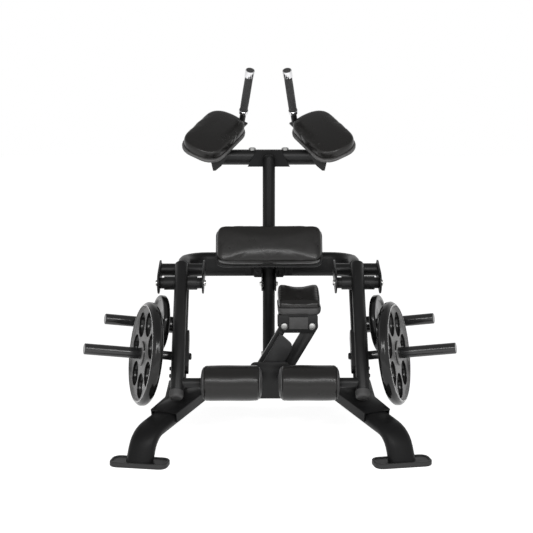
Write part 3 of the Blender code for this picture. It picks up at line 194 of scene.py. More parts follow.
class StageLook(bpy.types.PropertyGroup):
    """Camera, lights and floor."""

    camera_place: FloatVectorProperty(name="Camera place", description="Where the camera stands",
                                      size=3, subtype="TRANSLATION", unit="LENGTH",
                                      default=(-0.0588, CURL_Y - 5.508, 1.695))
    camera_pitch: FloatProperty(name="Camera pitch", description="Camera from straight down",
                                default=math.radians(80.24), subtype="ANGLE", unit="ROTATION")
    camera_turn: FloatProperty(name="Camera turn", description="Camera about the vertical",
                               default=-0.0082, subtype="ANGLE", unit="ROTATION")
    lens: FloatProperty(name="Lens", description="Focal length on a 36 mm sensor", default=81.05,
                        min=20)
    key_power: FloatProperty(name="Key light", description="Power of the lamp above the camera",
                             default=120.0, min=0, unit="POWER")
    fill_power: FloatProperty(name="Side lights", description="Power of each lamp at the side",
                              default=22.0, min=0, unit="POWER")
    sky: FloatProperty(name="Sky", description="Strength of the light from all round", default=0.20,
                       min=0)


# ---------------------------------------------------------------- shader effects

def effect_group(name, inputs, outputs):
    """New shader node group with float or vector inputs and float outputs."""
    group = bpy.data.node_groups.new(name, "ShaderNodeTree")
    for label, kind, value in inputs:
        socket = group.interface.new_socket(name=label, in_out="INPUT", socket_type=kind)
        if value is not None:
            socket.default_value = value
    for label in outputs:
        group.interface.new_socket(name=label, in_out="OUTPUT", socket_type="NodeSocketFloat")
    return group, group.nodes.new("NodeGroupInput"), group.nodes.new("NodeGroupOutput")


def shader_node(tree, kind, values=(), **settings):
    """New node of a shader tree, with its settings and the plain values of its inputs."""
    node = tree.nodes.new(kind)
    for label, value in settings.items():
        setattr(node, label, value)
    for label, value in values:
        node.inputs[label].default_value = value
    return node


def remap(tree, low, high, to_low=0.0, to_high=1.0):
    """Map Range node with fixed ends."""
    return shader_node(tree, "ShaderNodeMapRange", (
        ("From Min", low), ("From Max", high), ("To Min", to_low), ("To Max", to_high)))


def coat_grain():
    """Orange peel of powder coat and the bite of moulded plastic: height and a soft mottle."""
    group, start, end = effect_group(
        "coat_grain", (("Vector", "NodeSocketVector", None), ("Scale", "NodeSocketFloat", 900.0),
                       ("Mottle Scale", "NodeSocketFloat", 7.0)), ("Height", "Mottle"))
    link = group.links.new
    fine = shader_node(group, "ShaderNodeTexNoise", (("Detail", 2.0), ("Roughness", 0.45)))
    broad = shader_node(group, "ShaderNodeTexNoise", (("Detail", 5.0),))
    spread = remap(group, 0.32, 0.70)
    link(start.outputs["Vector"], fine.inputs["Vector"])
    link(start.outputs["Scale"], fine.inputs["Scale"])
    link(start.outputs["Vector"], broad.inputs["Vector"])
    link(start.outputs["Mottle Scale"], broad.inputs["Scale"])
    link(broad.outputs["Fac"], spread.inputs["Value"])
    link(fine.outputs["Fac"], end.inputs["Height"])
    link(spread.outputs["Result"], end.inputs["Mottle"])
    return group


def leather_grain():
    """Pebbled cells with creases between them, broken up by broad soft folds."""
    group, start, end = effect_group(
        "leather_grain",
        (("Vector", "NodeSocketVector", None), ("Scale", "NodeSocketFloat", 620.0)),
        ("Height", "Folds"))
    link = group.links.new
    bend = shader_node(group, "ShaderNodeTexNoise", (("Scale", 140.0), ("Detail", 2.0)))
    shift = shader_node(group, "ShaderNodeVectorMath", ((1, (0.0016, 0.0016, 0.0016)),),
                        operation="MULTIPLY_ADD")
    cells = shader_node(group, "ShaderNodeTexVoronoi", feature="DISTANCE_TO_EDGE")
    crease = remap(group, 0.0, 0.32)
    crease.interpolation_type = "SMOOTHSTEP"
    folds = shader_node(group, "ShaderNodeTexNoise", (("Scale", 26.0), ("Detail", 4.0)))
    link(start.outputs["Vector"], bend.inputs["Vector"])
    link(bend.outputs["Color"], shift.inputs[0])
    link(start.outputs["Vector"], shift.inputs[2])
    link(shift.outputs["Vector"], cells.inputs["Vector"])
    link(start.outputs["Scale"], cells.inputs["Scale"])
    link(cells.outputs["Distance"], crease.inputs["Value"])
    link(start.outputs["Vector"], folds.inputs["Vector"])
    link(crease.outputs["Result"], end.inputs["Height"])
    link(folds.outputs["Fac"], end.inputs["Folds"])
    return group


def hammered_paint():
    """Rounded dimples of hammered paint and the darker net between them."""
    group, start, end = effect_group(
        "hammered_paint",
        (("Vector", "NodeSocketVector", None), ("Scale", "NodeSocketFloat", 240.0)),
        ("Height", "Mask"))
    link = group.links.new
    cells = shader_node(group, "ShaderNodeTexVoronoi", (("Smoothness", 0.6),),
                        feature="SMOOTH_F1")
    flecks = shader_node(group, "ShaderNodeTexNoise", (("Scale", 900.0),))
    tone = remap(group, 0.12, 0.62)
    mix = shader_node(group, "ShaderNodeMath", ((1, 0.25),), operation="MULTIPLY_ADD")
    link(start.outputs["Vector"], cells.inputs["Vector"])
    link(start.outputs["Scale"], cells.inputs["Scale"])
    link(start.outputs["Vector"], flecks.inputs["Vector"])
    link(cells.outputs["Distance"], tone.inputs["Value"])
    link(flecks.outputs["Fac"], mix.inputs[0])
    link(tone.outputs["Result"], mix.inputs[2])
    link(cells.outputs["Distance"], end.inputs["Height"])
    link(mix.outputs["Value"], end.inputs["Mask"])
    return group


def handling_marks():
    """Sparse rubbed patches and short fine scratches, as a mask."""
    group, start, end = effect_group(
        "handling_marks", (("Vector", "NodeSocketVector", None), ("Scale", "NodeSocketFloat", 14.0),
                           ("Amount", "NodeSocketFloat", 0.5)), ("Mask",))
    link = group.links.new
    patches = shader_node(group, "ShaderNodeTexNoise", (("Detail", 6.0), ("Roughness", 0.62)))
    chosen = remap(group, 0.56, 0.74)
    stretch = shader_node(group, "ShaderNodeMapping", (
        ("Scale", (260.0, 22.0, 34.0)), ("Rotation", (0.4, 0.2, 0.7))))
    lines = shader_node(group, "ShaderNodeTexNoise", (("Scale", 4.0), ("Detail", 3.0)))
    thin = remap(group, 0.63, 0.72)
    both = shader_node(group, "ShaderNodeMath", operation="MAXIMUM")
    amount = shader_node(group, "ShaderNodeMath", operation="MULTIPLY")
    link(start.outputs["Vector"], patches.inputs["Vector"])
    link(start.outputs["Scale"], patches.inputs["Scale"])
    link(patches.outputs["Fac"], chosen.inputs["Value"])
    link(start.outputs["Vector"], stretch.inputs["Vector"])
    link(stretch.outputs["Vector"], lines.inputs["Vector"])
    link(lines.outputs["Fac"], thin.inputs["Value"])
    link(chosen.outputs["Result"], both.inputs[0])
    link(thin.outputs["Result"], both.inputs[1])
    link(both.outputs["Value"], amount.inputs[0])
    link(start.outputs["Amount"], amount.inputs[1])
    link(amount.outputs["Value"], end.inputs["Mask"])
    return group


def cross_knurl():
    """Diamond ribs on a grip's own UV map."""
    group, start, end = effect_group(
        "cross_knurl", (("Vector", "NodeSocketVector", None), ("Turns", "NodeSocketFloat", 28.0)),
        ("Height",))
    link = group.links.new
    split = shader_node(group, "ShaderNodeSeparateXYZ")
    link(start.outputs["Vector"], split.inputs["Vector"])
    waves = []
    for operation in ("ADD", "SUBTRACT"):
        lean = shader_node(group, "ShaderNodeMath", operation=operation)
        link(split.outputs["X"], lean.inputs[0])
        link(split.outputs["Y"], lean.inputs[1])
        count = shader_node(group, "ShaderNodeMath", operation="MULTIPLY")
        link(lean.outputs["Value"], count.inputs[0])
        link(start.outputs["Turns"], count.inputs[1])
        wave = shader_node(group, "ShaderNodeMath", ((1, 0.5),), operation="PINGPONG")
        link(count.outputs["Value"], wave.inputs[0])
        waves.append(wave)
    lower = shader_node(group, "ShaderNodeMath", operation="MINIMUM")
    link(waves[0].outputs["Value"], lower.inputs[0])
    link(waves[1].outputs["Value"], lower.inputs[1])
    link(lower.outputs["Value"], end.inputs["Height"])
    return group


# ---------------------------------------------------------------- materials

class Finish:
    """One material: its nodes, with short calls to wire them."""

    def __init__(self, name):
        self.material = bpy.data.materials.new(name)
        self.material.use_nodes = True
        self.tree = self.material.node_tree
        self.shader = self.tree.nodes["Principled BSDF"]
        self.coords = self.node("ShaderNodeTexCoord")

    def node(self, kind, values=(), **settings):
        """New node of the material."""
        return shader_node(self.tree, kind, values, **settings)

    def link(self, out, into):
        """Joins two sockets."""
        self.tree.links.new(out, into)

    def effect(self, group, vector="Object", **values):
        """A shared effect on the object's own coordinates, or on its map."""
        node = self.node("ShaderNodeGroup", node_tree=group)
        self.link(self.coords.outputs[vector], node.inputs["Vector"])
        for label, value in values.items():
            node.inputs[label.replace("_", " ")].default_value = value
        return node

    def tint(self, mask, first, second):
        """Base colour between two tones by a mask."""
        ramp = self.node("ShaderNodeValToRGB")
        ramp.color_ramp.elements[0].color = (*first, 1.0)
        ramp.color_ramp.elements[1].color = (*second, 1.0)
        self.link(mask, ramp.inputs["Fac"])
        self.link(ramp.outputs["Color"], self.shader.inputs["Base Color"])
        return ramp

    def vary(self, mask, low, high):
        """Roughness between two ends by a mask."""
        spread = remap(self.tree, 0.0, 1.0, low, high)
        self.link(mask, spread.inputs["Value"])
        self.link(spread.outputs["Result"], self.shader.inputs["Roughness"])

    def raise_surface(self, height, strength, distance, after=None):
        """Bump, laid over an earlier one."""
        bump = self.node("ShaderNodeBump", (("Strength", strength), ("Distance", distance)))
        self.link(height, bump.inputs["Height"])
        if after:
            self.link(after.outputs["Normal"], bump.inputs["Normal"])
        self.link(bump.outputs["Normal"], self.shader.inputs["Normal"])
        return bump

    def over(self, mask, under, tone):
        """Lays a tone over a colour where a mask says."""
        mix = self.node("ShaderNodeMix", data_type="RGBA")
        self.link(mask, mix.inputs["Factor"])
        self.link(under.outputs["Color"], mix.inputs["A"])
        mix.inputs["B"].default_value = (*tone, 1.0)
        self.link(mix.outputs["Result"], self.shader.inputs["Base Color"])

    def set(self, **values):
        """Constant values on the shader's own sockets."""
        for label, value in values.items():
            self.shader.inputs[label.replace("_", " ")].default_value = value


def shade(colour, share):
    """A colour made darker or lighter."""
    return tuple(min(1.0, c * share) for c in colour)


def painted(name, colour, groups, rough=(0.36, 0.48), peel=0.16, marks=0.30, spec=0.28):
    """Powder coat: orange peel, a soft mottle and a few rubbed marks."""
    f = Finish(name)
    grain = f.effect(groups["coat"], Scale=760.0, Mottle_Scale=6.0)
    worn = f.effect(groups["marks"], Scale=13.0, Amount=marks)
    base = f.tint(grain.outputs["Mottle"], shade(colour, 0.86), shade(colour, 1.16))
    f.over(worn.outputs["Mask"], base, shade(colour, 1.9))
    f.vary(grain.outputs["Mottle"], *rough)
    f.raise_surface(grain.outputs["Height"], peel, 0.0005)
    f.set(Specular_IOR_Level=spec)
    return f.material


def moulded(name, colour, groups, rough=(0.50, 0.62), scale=1500.0):
    """Moulded plastic or rubber with a fine matt bite."""
    f = Finish(name)
    grain = f.effect(groups["coat"], Scale=scale, Mottle_Scale=22.0)
    worn = f.effect(groups["marks"], Scale=24.0, Amount=0.35)
    base = f.tint(grain.outputs["Mottle"], shade(colour, 0.85), shade(colour, 1.15))
    f.over(worn.outputs["Mask"], base, shade(colour, 1.5))
    f.vary(grain.outputs["Mottle"], *rough)
    f.raise_surface(grain.outputs["Height"], 0.30, 0.0004)
    f.set(Specular_IOR_Level=0.34)
    return f.material


def vinyl(name, colour, groups):
    """Black upholstery vinyl: pebbled grain, soft folds and a low sheen; the creases of the grain
    are darkened in the base colour as painted shade.
    """
    f = Finish(name)
    grain = f.effect(groups["leather"], Scale=430.0)
    worn = f.effect(groups["marks"], Scale=9.0, Amount=0.22)
    # painted shade: the creases of the grain are darker in the base colour than the pebbles
    base = f.tint(grain.outputs["Height"], shade(colour, 0.7), shade(colour, 1.1))
    f.over(worn.outputs["Mask"], base, shade(colour, 1.7))
    f.vary(grain.outputs["Folds"], 0.24, 0.34)
    first = f.raise_surface(grain.outputs["Folds"], 0.22, 0.0018)
    f.raise_surface(grain.outputs["Height"], 0.10, 0.00030, first)
    f.set(Specular_IOR_Level=0.34)
    return f.material


def cast_face(name, colour, groups):
    """Hammered grey paint on cast iron."""
    f = Finish(name)
    grain = f.effect(groups["hammered"], Scale=230.0)
    worn = f.effect(groups["marks"], Scale=16.0, Amount=0.40)
    base = f.tint(grain.outputs["Mask"], shade(colour, 1.35), shade(colour, 0.62))
    f.over(worn.outputs["Mask"], base, shade(colour, 1.6))
    f.vary(grain.outputs["Mask"], 0.26, 0.44)
    f.raise_surface(grain.outputs["Height"], 0.55, 0.0012)
    f.set(Specular_IOR_Level=0.5)
    return f.material


def gloss_rim(name, colour, groups):
    """Gloss paint on the edge and the thin lip of the plates, rubbed by handling; on the walls of
    the plates' recesses the dark edge gloss is painted shade.
    """
    f = Finish(name)
    grain = f.effect(groups["coat"], Scale=420.0, Mottle_Scale=10.0)
    worn = f.effect(groups["marks"], Scale=20.0, Amount=0.55)
    base = f.tint(grain.outputs["Mottle"], shade(colour, 0.8), shade(colour, 1.2))
    f.over(worn.outputs["Mask"], base, shade(colour, 3.0))
    f.vary(grain.outputs["Mottle"], 0.10, 0.19)
    f.raise_surface(grain.outputs["Height"], 0.14, 0.0006)
    f.set(Specular_IOR_Level=0.34)
    return f.material


def plated(name, colour, groups, rough=(0.10, 0.22)):
    """Chrome or zinc plate with fine hairlines."""
    f = Finish(name)
    worn = f.effect(groups["marks"], Scale=30.0, Amount=0.8)
    grain = f.effect(groups["coat"], Scale=1100.0, Mottle_Scale=30.0)
    f.tint(grain.outputs["Mottle"], shade(colour, 0.88), shade(colour, 1.08))
    f.vary(worn.outputs["Mask"], *rough)
    f.raise_surface(grain.outputs["Height"], 0.05, 0.0002)
    f.set(Metallic=1.0)
    return f.material


def grip_rubber(name, colour, groups):
    """Knurled rubber of the hand grips, on the grip's own map, with painted shade in the grooves of
    the knurl and a painted highlight on its ridges.
    """
    f = Finish(name)
    knurl = f.effect(groups["knurl"], "UV", Turns=20.0)
    grain = f.effect(groups["coat"], Scale=1600.0, Mottle_Scale=30.0)
    # painted shade and highlight: base colour dark in the knurl's grooves and light on its ridges
    f.tint(knurl.outputs["Height"], shade(colour, 0.6), shade(colour, 1.35))
    f.vary(grain.outputs["Mottle"], 0.55, 0.68)
    f.raise_surface(knurl.outputs["Height"], 0.8, 0.0009)
    return f.material


LOOKS = {}


def make_looks(scene):
    """Builds each shared effect once and each material from it."""
    paint, pads = scene.machine_paint, scene.machine_pads
    groups = {"coat": coat_grain(), "leather": leather_grain(), "hammered": hammered_paint(),
              "marks": handling_marks(), "knurl": cross_knurl()}
    LOOKS.update(
        black_frame=painted("black_powder_coat", paint.frame, groups),
        leg_black=painted("leg_powder_coat", paint.frame, groups, spec=0.13),
        linkage_box=painted("satin_grey_paint", paint.box, groups, (0.34, 0.46), 0.10),
        horn_paint=painted("horn_satin_black", shade(paint.frame, 1.8), groups, (0.13, 0.22),
                           peel=0.08, marks=0.5, spec=0.55),
        black_vinyl=vinyl("black_vinyl", pads.vinyl, groups),
        piping=moulded("vinyl_piping", shade(pads.vinyl, 1.5), groups, (0.34, 0.46), 900.0),
        grey_plastic=moulded("grey_moulded_plastic", paint.plastic, groups),
        board_plastic=moulded("elbow_board_plastic", shade(paint.plastic, 2.2), groups),
        base_plastic=moulded("knee_base_plastic", shade(paint.plastic, 1.25), groups,
                             (0.40, 0.52)),
        foot_rubber=moulded("foot_rubber", paint.rubber, groups, (0.58, 0.72), 1200.0),
        black_board=moulded("black_board", shade(paint.frame, 1.2), groups, (0.48, 0.6),
                            1300.0),
        cast_grey=cast_face("hammered_cast_iron", paint.cast, groups),
        plate_rim=gloss_rim("plate_rim_gloss", paint.rim, groups),
        plate_lip=gloss_rim("plate_lip_gloss", shade(paint.cast, 3.2), groups),
        bright_chrome=plated("chrome_plate", paint.chrome, groups),
        zinc=plated("zinc_plate", paint.zinc, groups, (0.22, 0.38)),
        brushed_pin=plated("brushed_pin_steel", shade(paint.zinc, 0.50), groups,
                           (0.40, 0.55)),
        dark_steel=plated("oiled_steel", paint.steel, groups, (0.30, 0.45)),
        grip_rubber=grip_rubber("grip_rubber", paint.grip, groups))


# ---------------------------------------------------------------- meshes

def piece(name, mesh, look, body, stands_for=()):
    """Links a finished mesh as a named piece that rides on a body."""
    obj = bpy.data.objects.new(name, mesh)
    bpy.context.scene.collection.objects.link(obj)
    if look is not None:
        mesh.materials.clear()
        mesh.materials.append(LOOKS[look])
    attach(obj, body)
    if stands_for:
        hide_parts(*stands_for)
    return obj


def smooth_by_angle(bm, limit=SMOOTH_BELOW):
    """Smooth faces, with sharp edges only where the surface turns hard."""
    for face in bm.faces:
        face.smooth = True
    for edge in bm.edges:
        edge.smooth = len(edge.link_faces) == 2 and edge.calc_face_angle(0.0) < limit


def mesh_of(bm, name, limit=SMOOTH_BELOW):
    """Mesh from an editable one, smoothed by angle."""
    smooth_by_angle(bm, limit)
    mesh = bpy.data.meshes.new(name)
    bm.to_mesh(mesh)
    bm.free()
    return mesh


def merged(node):
    """Editable copy of a CAD node with its points joined and flat faces whole."""
    bm = bmesh.new()
    bm.from_mesh(NODES[node].data)
    for layer in list(bm.loops.layers.uv):
        bm.loops.layers.uv.remove(layer)
    bmesh.ops.remove_doubles(bm, verts=bm.verts, dist=JOIN_WITHIN)
    bmesh.ops.dissolve_limit(bm, angle_limit=math.radians(0.4), verts=bm.verts, edges=bm.edges)
    return bm


def settled(mesh, modifiers):
    """Mesh with modifiers applied, each given as kind and settings."""
    obj = bpy.data.objects.new("work", mesh)
    bpy.context.scene.collection.objects.link(obj)
    for kind, values in modifiers:
        modifier = obj.modifiers.new(kind.lower(), kind)
        for label, value in values.items():
            setattr(modifier, label, value)
    graph = bpy.context.evaluated_depsgraph_get()
    result = bpy.data.meshes.new_from_object(obj.evaluated_get(graph), depsgraph=graph)
    bpy.data.objects.remove(obj)
    return result


def resmoothed(mesh, name, limit=SMOOTH_BELOW):
    """The same mesh with its smoothing set again."""
    bm = bmesh.new()
    bm.from_mesh(mesh)
    return mesh_of(bm, name, limit)


def dressed(node, look, edge=0.0):
    """Stands for a rigid CAD node: same shape, joined points, softened edges, own material."""
    mesh = mesh_of(merged(node), node)
    if edge:
        mesh = settled(mesh, [("BEVEL", {"width": edge, "segments": 2, "limit_method": "ANGLE",
                                         "angle_limit": SMOOTH_BELOW, "use_clamp_overlap": True,
                                         "miter_outer": "MITER_ARC"})])
        mesh = resmoothed(mesh, node, math.radians(50))
    piece(node + "_finish", mesh, look, BODY_OF[node], (node,))


def along(place, direction):
    """Matrix that puts Z along a direction at a place."""
    turn = Vector(direction).to_track_quat("Z", "Y").to_matrix().to_4x4()
    return Matrix.Translation(place) @ turn


def turns(steps):
    """Even angles once round."""
    return [2 * math.pi * i / steps for i in range(steps)]


def lathe(profile, matrix, steps, name, with_map=False):
    """Surface turned about Z from (radius, height) pairs; its map runs round and then up."""
    bm = bmesh.new()
    rings = []
    for radius, height in profile:
        if radius == 0.0:
            rings.append([bm.verts.new((0, 0, height))])
            continue
        rings.append([bm.verts.new((radius * math.cos(a), radius * math.sin(a), height))
                      for a in turns(steps)])
    layer = bm.loops.layers.uv.new("wrap") if with_map else None
    start, span = profile[0][1], profile[-1][1] - profile[0][1]
    for low, high in zip(rings, rings[1:]):
        for i in range(steps):
            j = (i + 1) % steps
            near = (low[i % len(low)], high[i % len(high)])
            far = (low[j % len(low)], high[j % len(high)])
            corners = [near[0], far[0], far[1], near[1]]
            corners = [c for n, c in enumerate(corners) if c not in corners[:n]]
            if len(corners) < 3:
                continue
            face = bm.faces.new(corners)
            if layer is None:
                continue
            for loop in face.loops:
                turn = i if loop.vert in near else i + 1
                loop[layer].uv = (turn / steps, (loop.vert.co.z - start) / span)
    bmesh.ops.recalc_face_normals(bm, faces=bm.faces)
    bm.transform(matrix)
    return mesh_of(bm, name)


def skinned(bm, rings):
    """Closes rings of points into a solid, from the lowest ring to the highest."""
    for a, b in zip(rings, rings[1:]):
        for i in range(len(a)):
            j = (i + 1) % len(a)
            bm.faces.new((a[i], a[j], b[j], b[i]))
    bm.faces.new(list(reversed(rings[0])))
    bm.faces.new(rings[-1])
    bmesh.ops.recalc_face_normals(bm, faces=bm.faces)


# ---------------------------------------------------------------- geometry node trees

class Tree:
    """A Geometry Nodes tree with named inputs and short calls to wire it."""

    def __init__(self, name, inputs):
        self.group = bpy.data.node_groups.new(name, "GeometryNodeTree")
        self.group.interface.new_socket(name="Geometry", in_out="INPUT",
                                        socket_type="NodeSocketGeometry")
        self.ids = {}
        for label, kind, value in (*inputs, ("Material", "NodeSocketMaterial", None)):
            socket = self.group.interface.new_socket(name=label, in_out="INPUT", socket_type=kind)
            if value is not None:
                socket.default_value = value
            self.ids[label] = socket.identifier
        self.group.interface.new_socket(name="Geometry", in_out="OUTPUT",
                                        socket_type="NodeSocketGeometry")
        self.start = self.group.nodes.new("NodeGroupInput")
        self.end = self.group.nodes.new("NodeGroupOutput")

    def node(self, kind, links=(), **settings):
        """New node; each link is an input's name or number and the socket or value it gets."""
        node = self.group.nodes.new(kind)
        for label, value in settings.items():
            setattr(node, label, value)
        for into, source in links:
            if isinstance(source, bpy.types.NodeSocket):
                self.group.links.new(source, node.inputs[into])
            else:
                node.inputs[into].default_value = source
        return node

    def given(self, label):
        """One of the tree's own inputs."""
        return self.start.outputs[label]

    def maths(self, operation, first, second=None):
        """Result of a sum on sockets or numbers."""
        links = [(0, first)] + ([(1, second)] if second is not None else [])
        return self.node("ShaderNodeMath", links, operation=operation).outputs[0]

    def vector(self, x=0.0, y=0.0, z=0.0):
        """Vector from sockets or numbers."""
        return self.node("ShaderNodeCombineXYZ", (("X", x), ("Y", y), ("Z", z))).outputs[0]

    def finish(self, geometry):
        """Ends the tree in real geometry with its material."""
        real = self.node("GeometryNodeRealizeInstances", (("Geometry", geometry),))
        painted_mesh = self.node("GeometryNodeSetMaterial", (
            ("Geometry", real.outputs["Geometry"]), ("Material", self.given("Material"))))
        self.group.links.new(painted_mesh.outputs["Geometry"], self.end.inputs["Geometry"])
        return self


def grown(tree, mesh, look, **values):
    """Plain mesh that a tree makes from a mesh."""
    obj = bpy.data.objects.new("seed", mesh)
    bpy.context.scene.collection.objects.link(obj)
    modifier = obj.modifiers.new("tree", "NODES")
    modifier.node_group = tree.group
    modifier[tree.ids["Material"]] = LOOKS[look]
    for label, value in values.items():
        modifier[tree.ids[label.replace("_", " ")]] = value
    graph = bpy.context.evaluated_depsgraph_get()
    result = bpy.data.meshes.new_from_object(obj.evaluated_get(graph), depsgraph=graph)
    bpy.data.objects.remove(obj)
    return result


def plate_tree():
    """Cast plate: crowned edge, dished both sides, bored, with a ring of round openings."""
    length = "NodeSocketFloat"
    tree = Tree("ring_plate", (
        ("Radius", length, 0.233), ("Thickness", length, 0.050), ("Web", length, 0.027),
        ("Rim", length, 0.0195), ("Hub", length, 0.052), ("Bore", length, 0.0258),
        ("Openings", "NodeSocketInt", 7), ("Opening In", length, 0.088),
        ("Opening Out", length, 0.2015), ("Draft", length, 0.007), ("Crown", length, 0.068)))
    radius, thick, web = tree.given("Radius"), tree.given("Thickness"), tree.given("Web")
    tall = tree.maths("MULTIPLY", thick, 3.0)
    slab = tree.node("GeometryNodeMeshCylinder", (
        ("Vertices", 128), ("Radius", radius), ("Depth", thick)))
    ball = tree.node("GeometryNodeMeshUVSphere", (
        ("Segments", 128), ("Rings", 80), ("Radius", 1.0)))
    wide = tree.maths("MULTIPLY", radius, 1.0064)
    crowned = tree.node("GeometryNodeTransform", (
        ("Geometry", ball.outputs["Mesh"]),
        ("Scale", tree.vector(x=wide, y=wide, z=tree.given("Crown")))))
    disc = tree.node("GeometryNodeMeshBoolean", (
        (1, slab.outputs["Mesh"]), (1, crowned.outputs["Geometry"])), operation="INTERSECT",
        solver="EXACT")
    rim_in = tree.maths("SUBTRACT", radius, tree.given("Rim"))
    deep = tree.maths("MULTIPLY", tree.maths("SUBTRACT", thick, web), 0.5)
    foot = tree.maths("SUBTRACT", rim_in, tree.given("Draft"))
    reach = tree.maths("ADD", deep, 0.002)
    bowl = tree.node("GeometryNodeMeshCone", (
        ("Vertices", 128), ("Radius Top", rim_in), ("Radius Bottom", foot), ("Depth", reach)))
    hub_foot = tree.maths("ADD", tree.given("Hub"), 0.005)
    core = tree.node("GeometryNodeMeshCone", (
        ("Vertices", 64), ("Radius Top", tree.given("Hub")), ("Radius Bottom", hub_foot),
        ("Depth", tree.maths("ADD", reach, 0.004))))
    lowered = tree.node("GeometryNodeTransform", (
        ("Geometry", core.outputs["Mesh"]), ("Translation", tree.vector(z=-0.002))))
    dish = tree.node("GeometryNodeMeshBoolean", (
        (0, bowl.outputs["Mesh"]), (1, lowered.outputs["Geometry"])), operation="DIFFERENCE",
        solver="EXACT")
    lift = tree.maths("MULTIPLY", web, 0.5)
    front = tree.node("GeometryNodeTransform", (
        ("Geometry", dish.outputs["Mesh"]), ("Translation", tree.vector(z=lift))))
    back = tree.node("GeometryNodeTransform", (
        ("Geometry", front.outputs["Geometry"]), ("Rotation", (math.pi, 0.0, 0.0))))
    bore = tree.node("GeometryNodeMeshCylinder", (
        ("Vertices", 48), ("Radius", tree.given("Bore")), ("Depth", tall)))
    span = tree.maths("MULTIPLY", tree.maths("SUBTRACT", tree.given("Opening Out"),
                                             tree.given("Opening In")), 0.5)
    at = tree.maths("ADD", tree.given("Opening In"), span)
    share = tree.maths("DIVIDE", 2 * math.pi, tree.given("Openings"))
    half_width = tree.maths("MULTIPLY", tree.maths("MULTIPLY", at, share), 0.425)
    oval = tree.node("GeometryNodeMeshCylinder", (
        ("Vertices", 40), ("Radius", 1.0), ("Depth", tall)))
    placed = tree.node("GeometryNodeTransform", (
        ("Geometry", oval.outputs["Mesh"]), ("Translation", tree.vector(x=at)),
        ("Scale", tree.vector(x=span, y=half_width, z=1.0))))
    points = tree.node("GeometryNodeMeshLine", (
        ("Count", tree.given("Openings")), ("Offset", (0.0, 0.0, 0.0))))
    index = tree.node("GeometryNodeInputIndex")
    turn = tree.maths("MULTIPLY", tree.maths("ADD", index.outputs[0], 0.5), share)
    rotation = tree.node("FunctionNodeEulerToRotation", ((0, tree.vector(z=turn)),))
    ring = tree.node("GeometryNodeInstanceOnPoints", (
        ("Points", points.outputs["Mesh"]), ("Instance", placed.outputs["Geometry"]),
        ("Rotation", rotation.outputs[0])))
    real_ring = tree.node("GeometryNodeRealizeInstances", (
        ("Geometry", ring.outputs["Instances"]),))
    body = disc.outputs["Mesh"]
    for tool in (front.outputs["Geometry"], back.outputs["Geometry"], bore.outputs["Mesh"],
                 real_ring.outputs["Geometry"]):
        body = tree.node("GeometryNodeMeshBoolean", ((0, body), (1, tool)), operation="DIFFERENCE",
                         solver="EXACT").outputs["Mesh"]
    return tree.finish(body)


def bolt_tree():
    """Hexagon heads on washers, one at each point, standing along its own direction."""
    length = "NodeSocketFloat"
    tree = Tree("bolt_heads", (("Head", length, 0.0078), ("Height", length, 0.0062),
                               ("Washer", length, 0.0108), ("Washer Height", length, 0.0016)))
    head, height = tree.given("Head"), tree.given("Height")
    base = tree.given("Washer Height")
    corner = tree.maths("MULTIPLY", head, 1.1547)
    body_height = tree.maths("MULTIPLY", height, 0.80)
    hexagon = tree.node("GeometryNodeMeshCylinder", (
        ("Vertices", 6), ("Radius", corner), ("Depth", body_height)))
    middle_z = tree.maths("ADD", base, tree.maths("MULTIPLY", body_height, 0.5))
    stood = tree.node("GeometryNodeTransform", (
        ("Geometry", hexagon.outputs["Mesh"]), ("Translation", tree.vector(z=middle_z))))
    cap_height = tree.maths("MULTIPLY", height, 0.20)
    cap = tree.node("GeometryNodeMeshCone", (
        ("Vertices", 24), ("Radius Top", tree.maths("MULTIPLY", head, 0.80)),
        ("Radius Bottom", head), ("Depth", cap_height)))
    capped = tree.node("GeometryNodeTransform", (
        ("Geometry", cap.outputs["Mesh"]),
        ("Translation", tree.vector(z=tree.maths("ADD", base, body_height)))))
    washer = tree.node("GeometryNodeMeshCylinder", (
        ("Vertices", 28), ("Radius", tree.given("Washer")), ("Depth", base)))
    seated = tree.node("GeometryNodeTransform", (
        ("Geometry", washer.outputs["Mesh"]),
        ("Translation", tree.vector(z=tree.maths("MULTIPLY", base, 0.5)))))
    whole = tree.node("GeometryNodeJoinGeometry")
    for part in (stood, capped, seated):
        tree.group.links.new(part.outputs["Geometry"], whole.inputs[0])
    aim = tree.node("GeometryNodeInputNamedAttribute", (("Name", "aim"),), data_type="FLOAT_VECTOR")
    turned = tree.node("FunctionNodeAlignRotationToVector", (
        ("Vector", aim.outputs["Attribute"]),), axis="Z")
    set_out = tree.node("GeometryNodeInstanceOnPoints", (
        ("Points", tree.given("Geometry")), ("Instance", whole.outputs[0]),
        ("Rotation", turned.outputs[0])))
    return tree.finish(set_out.outputs["Instances"])


